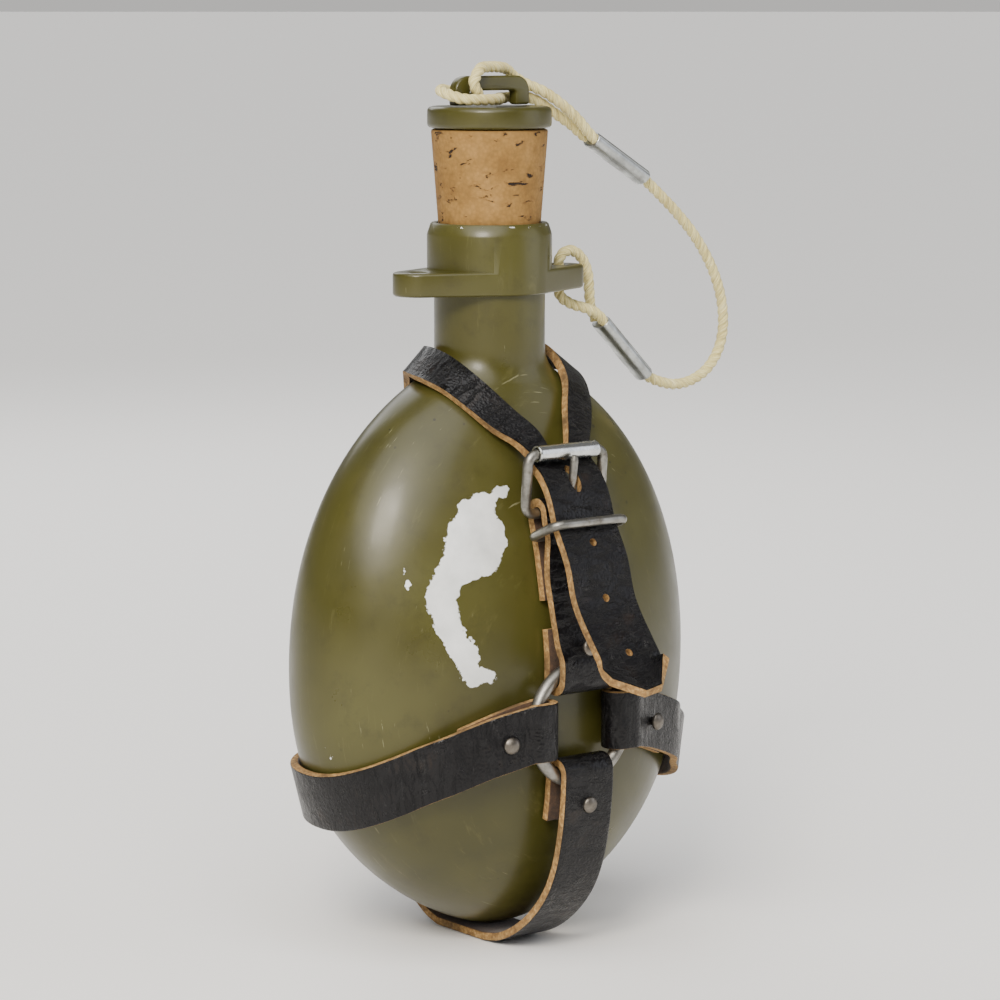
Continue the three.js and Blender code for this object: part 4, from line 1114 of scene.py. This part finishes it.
def girth_fold(turn, side):
    """Round the ring's wire, on its right (-1) or its left (1)."""
    low_edge = RING["z"] - GIRTH["z"] + GIRTH["half_width"]
    loose = RING_TURN + 0.25
    inside = (MIDDLE - turn * (ring_fold(2 * low_edge) + 0.3), RING["y"])
    outside = (MIDDLE - turn * RING["radius"], RING["y"])
    around = arc(inside, loose, 90, 90 - 180 * turn)
    around += arc(outside, loose, 90 - 180 * turn, 90 - 212 * turn, 3)
    return [Vector((x, y, GIRTH["z"] + side * GIRTH["half_width"])) for x, y in around]


def girth_flap(first, last, side):
    """An end that lies on the flask under the strap."""
    return [girth_point(first + (last - first) * k / 8, 1.6, side) for k in range(9)]


def girth_edge(side):
    """One edge of the belly strap, from its left flap round the back to its right flap."""
    count, first, sweep = 180, -21.5, 321.2
    around = []
    for k in range(count + 1):
        degrees = first - sweep * k / count
        degrees = degrees + 360 if degrees < -180 else degrees
        around.append(girth_point(degrees, girth_lift(degrees), side))
    return [v * MM for v in [*girth_flap(-34, -16.5, side), *girth_fold(1, side), *around,
                             *girth_fold(-1, side)[::-1], *girth_flap(12.5, 32, side)]]


def make_straps():
    """The buckle strap with its slot for the prong, the bottom and belly straps and the belt loop."""
    prong_slot = box_cutter((MIDDLE, -36.4, 128.8), (5, 14, 10.4))
    strip = leather(*upright_edges(buckle_strap_path(), BUCKLE_STRAP_WIDTH), 8)
    thicken(strip, "buckle_fold", "buckle_strap", [prong_slot])
    strip = leather(*upright_edges(bottom_strap_path(), BOTTOM_STRAP_WIDTH), 8)
    thicken(strip, "under_strap", "bottom_strap")
    strip = leather(girth_edge(-1), girth_edge(1), 8)
    thicken(strip, "belly_strap", "girth_strap")
    loop = curve([
        on_flask(141, 1, LAYER + 0.5), on_flask(132, 1, LAYER + 0.5), (43, 123), (49.5, 112), (52, 99),
        (50.2, 87), on_flask(78.5, 1, 2 * LAYER + 1), on_flask(69, 1, 2 * LAYER + 1.2)])
    strip = leather(*upright_edges(loop, BELT_LOOP_WIDTH), 8)
    thicken(strip, "belt_keeper", "belt_loop")


def box_cutter(place, size):
    """A box in millimetres that leaves the cut edge of the hide where it cuts."""
    bpy.ops.mesh.primitive_cube_add(size=1)
    cutter = bpy.context.object
    cutter.scale, cutter.location = Vector(size) * MM, Vector(place) * MM
    settle(cutter)
    cutter.data.materials.append(LEATHERS[1])
    return cutter


# ---------------------------------------------------------------- rivets

def make_rivets():
    """The rivets keep their framework shape, with its edges rounded as if hammered."""
    for name in [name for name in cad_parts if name.startswith("rivet_")]:
        from_frame(name, name.replace("rivet_", "dome_"), "bottle", rivet_steel, 0.15, 30, 2)


add_camera()
make_lanyard()
add_studio()
make_flask()
make_stopper()
make_collar()
make_buckle()
make_keeper_and_ring()
make_yoke()
make_straps()
make_rivets()

# The stud, washer and nut keep their framework shapes.
for node in ("stopper_stud", "stopper_washer", "stopper_nut"):
    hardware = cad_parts[node].data
    hardware.materials.clear()
    hardware.materials.append(crimped_aluminium)
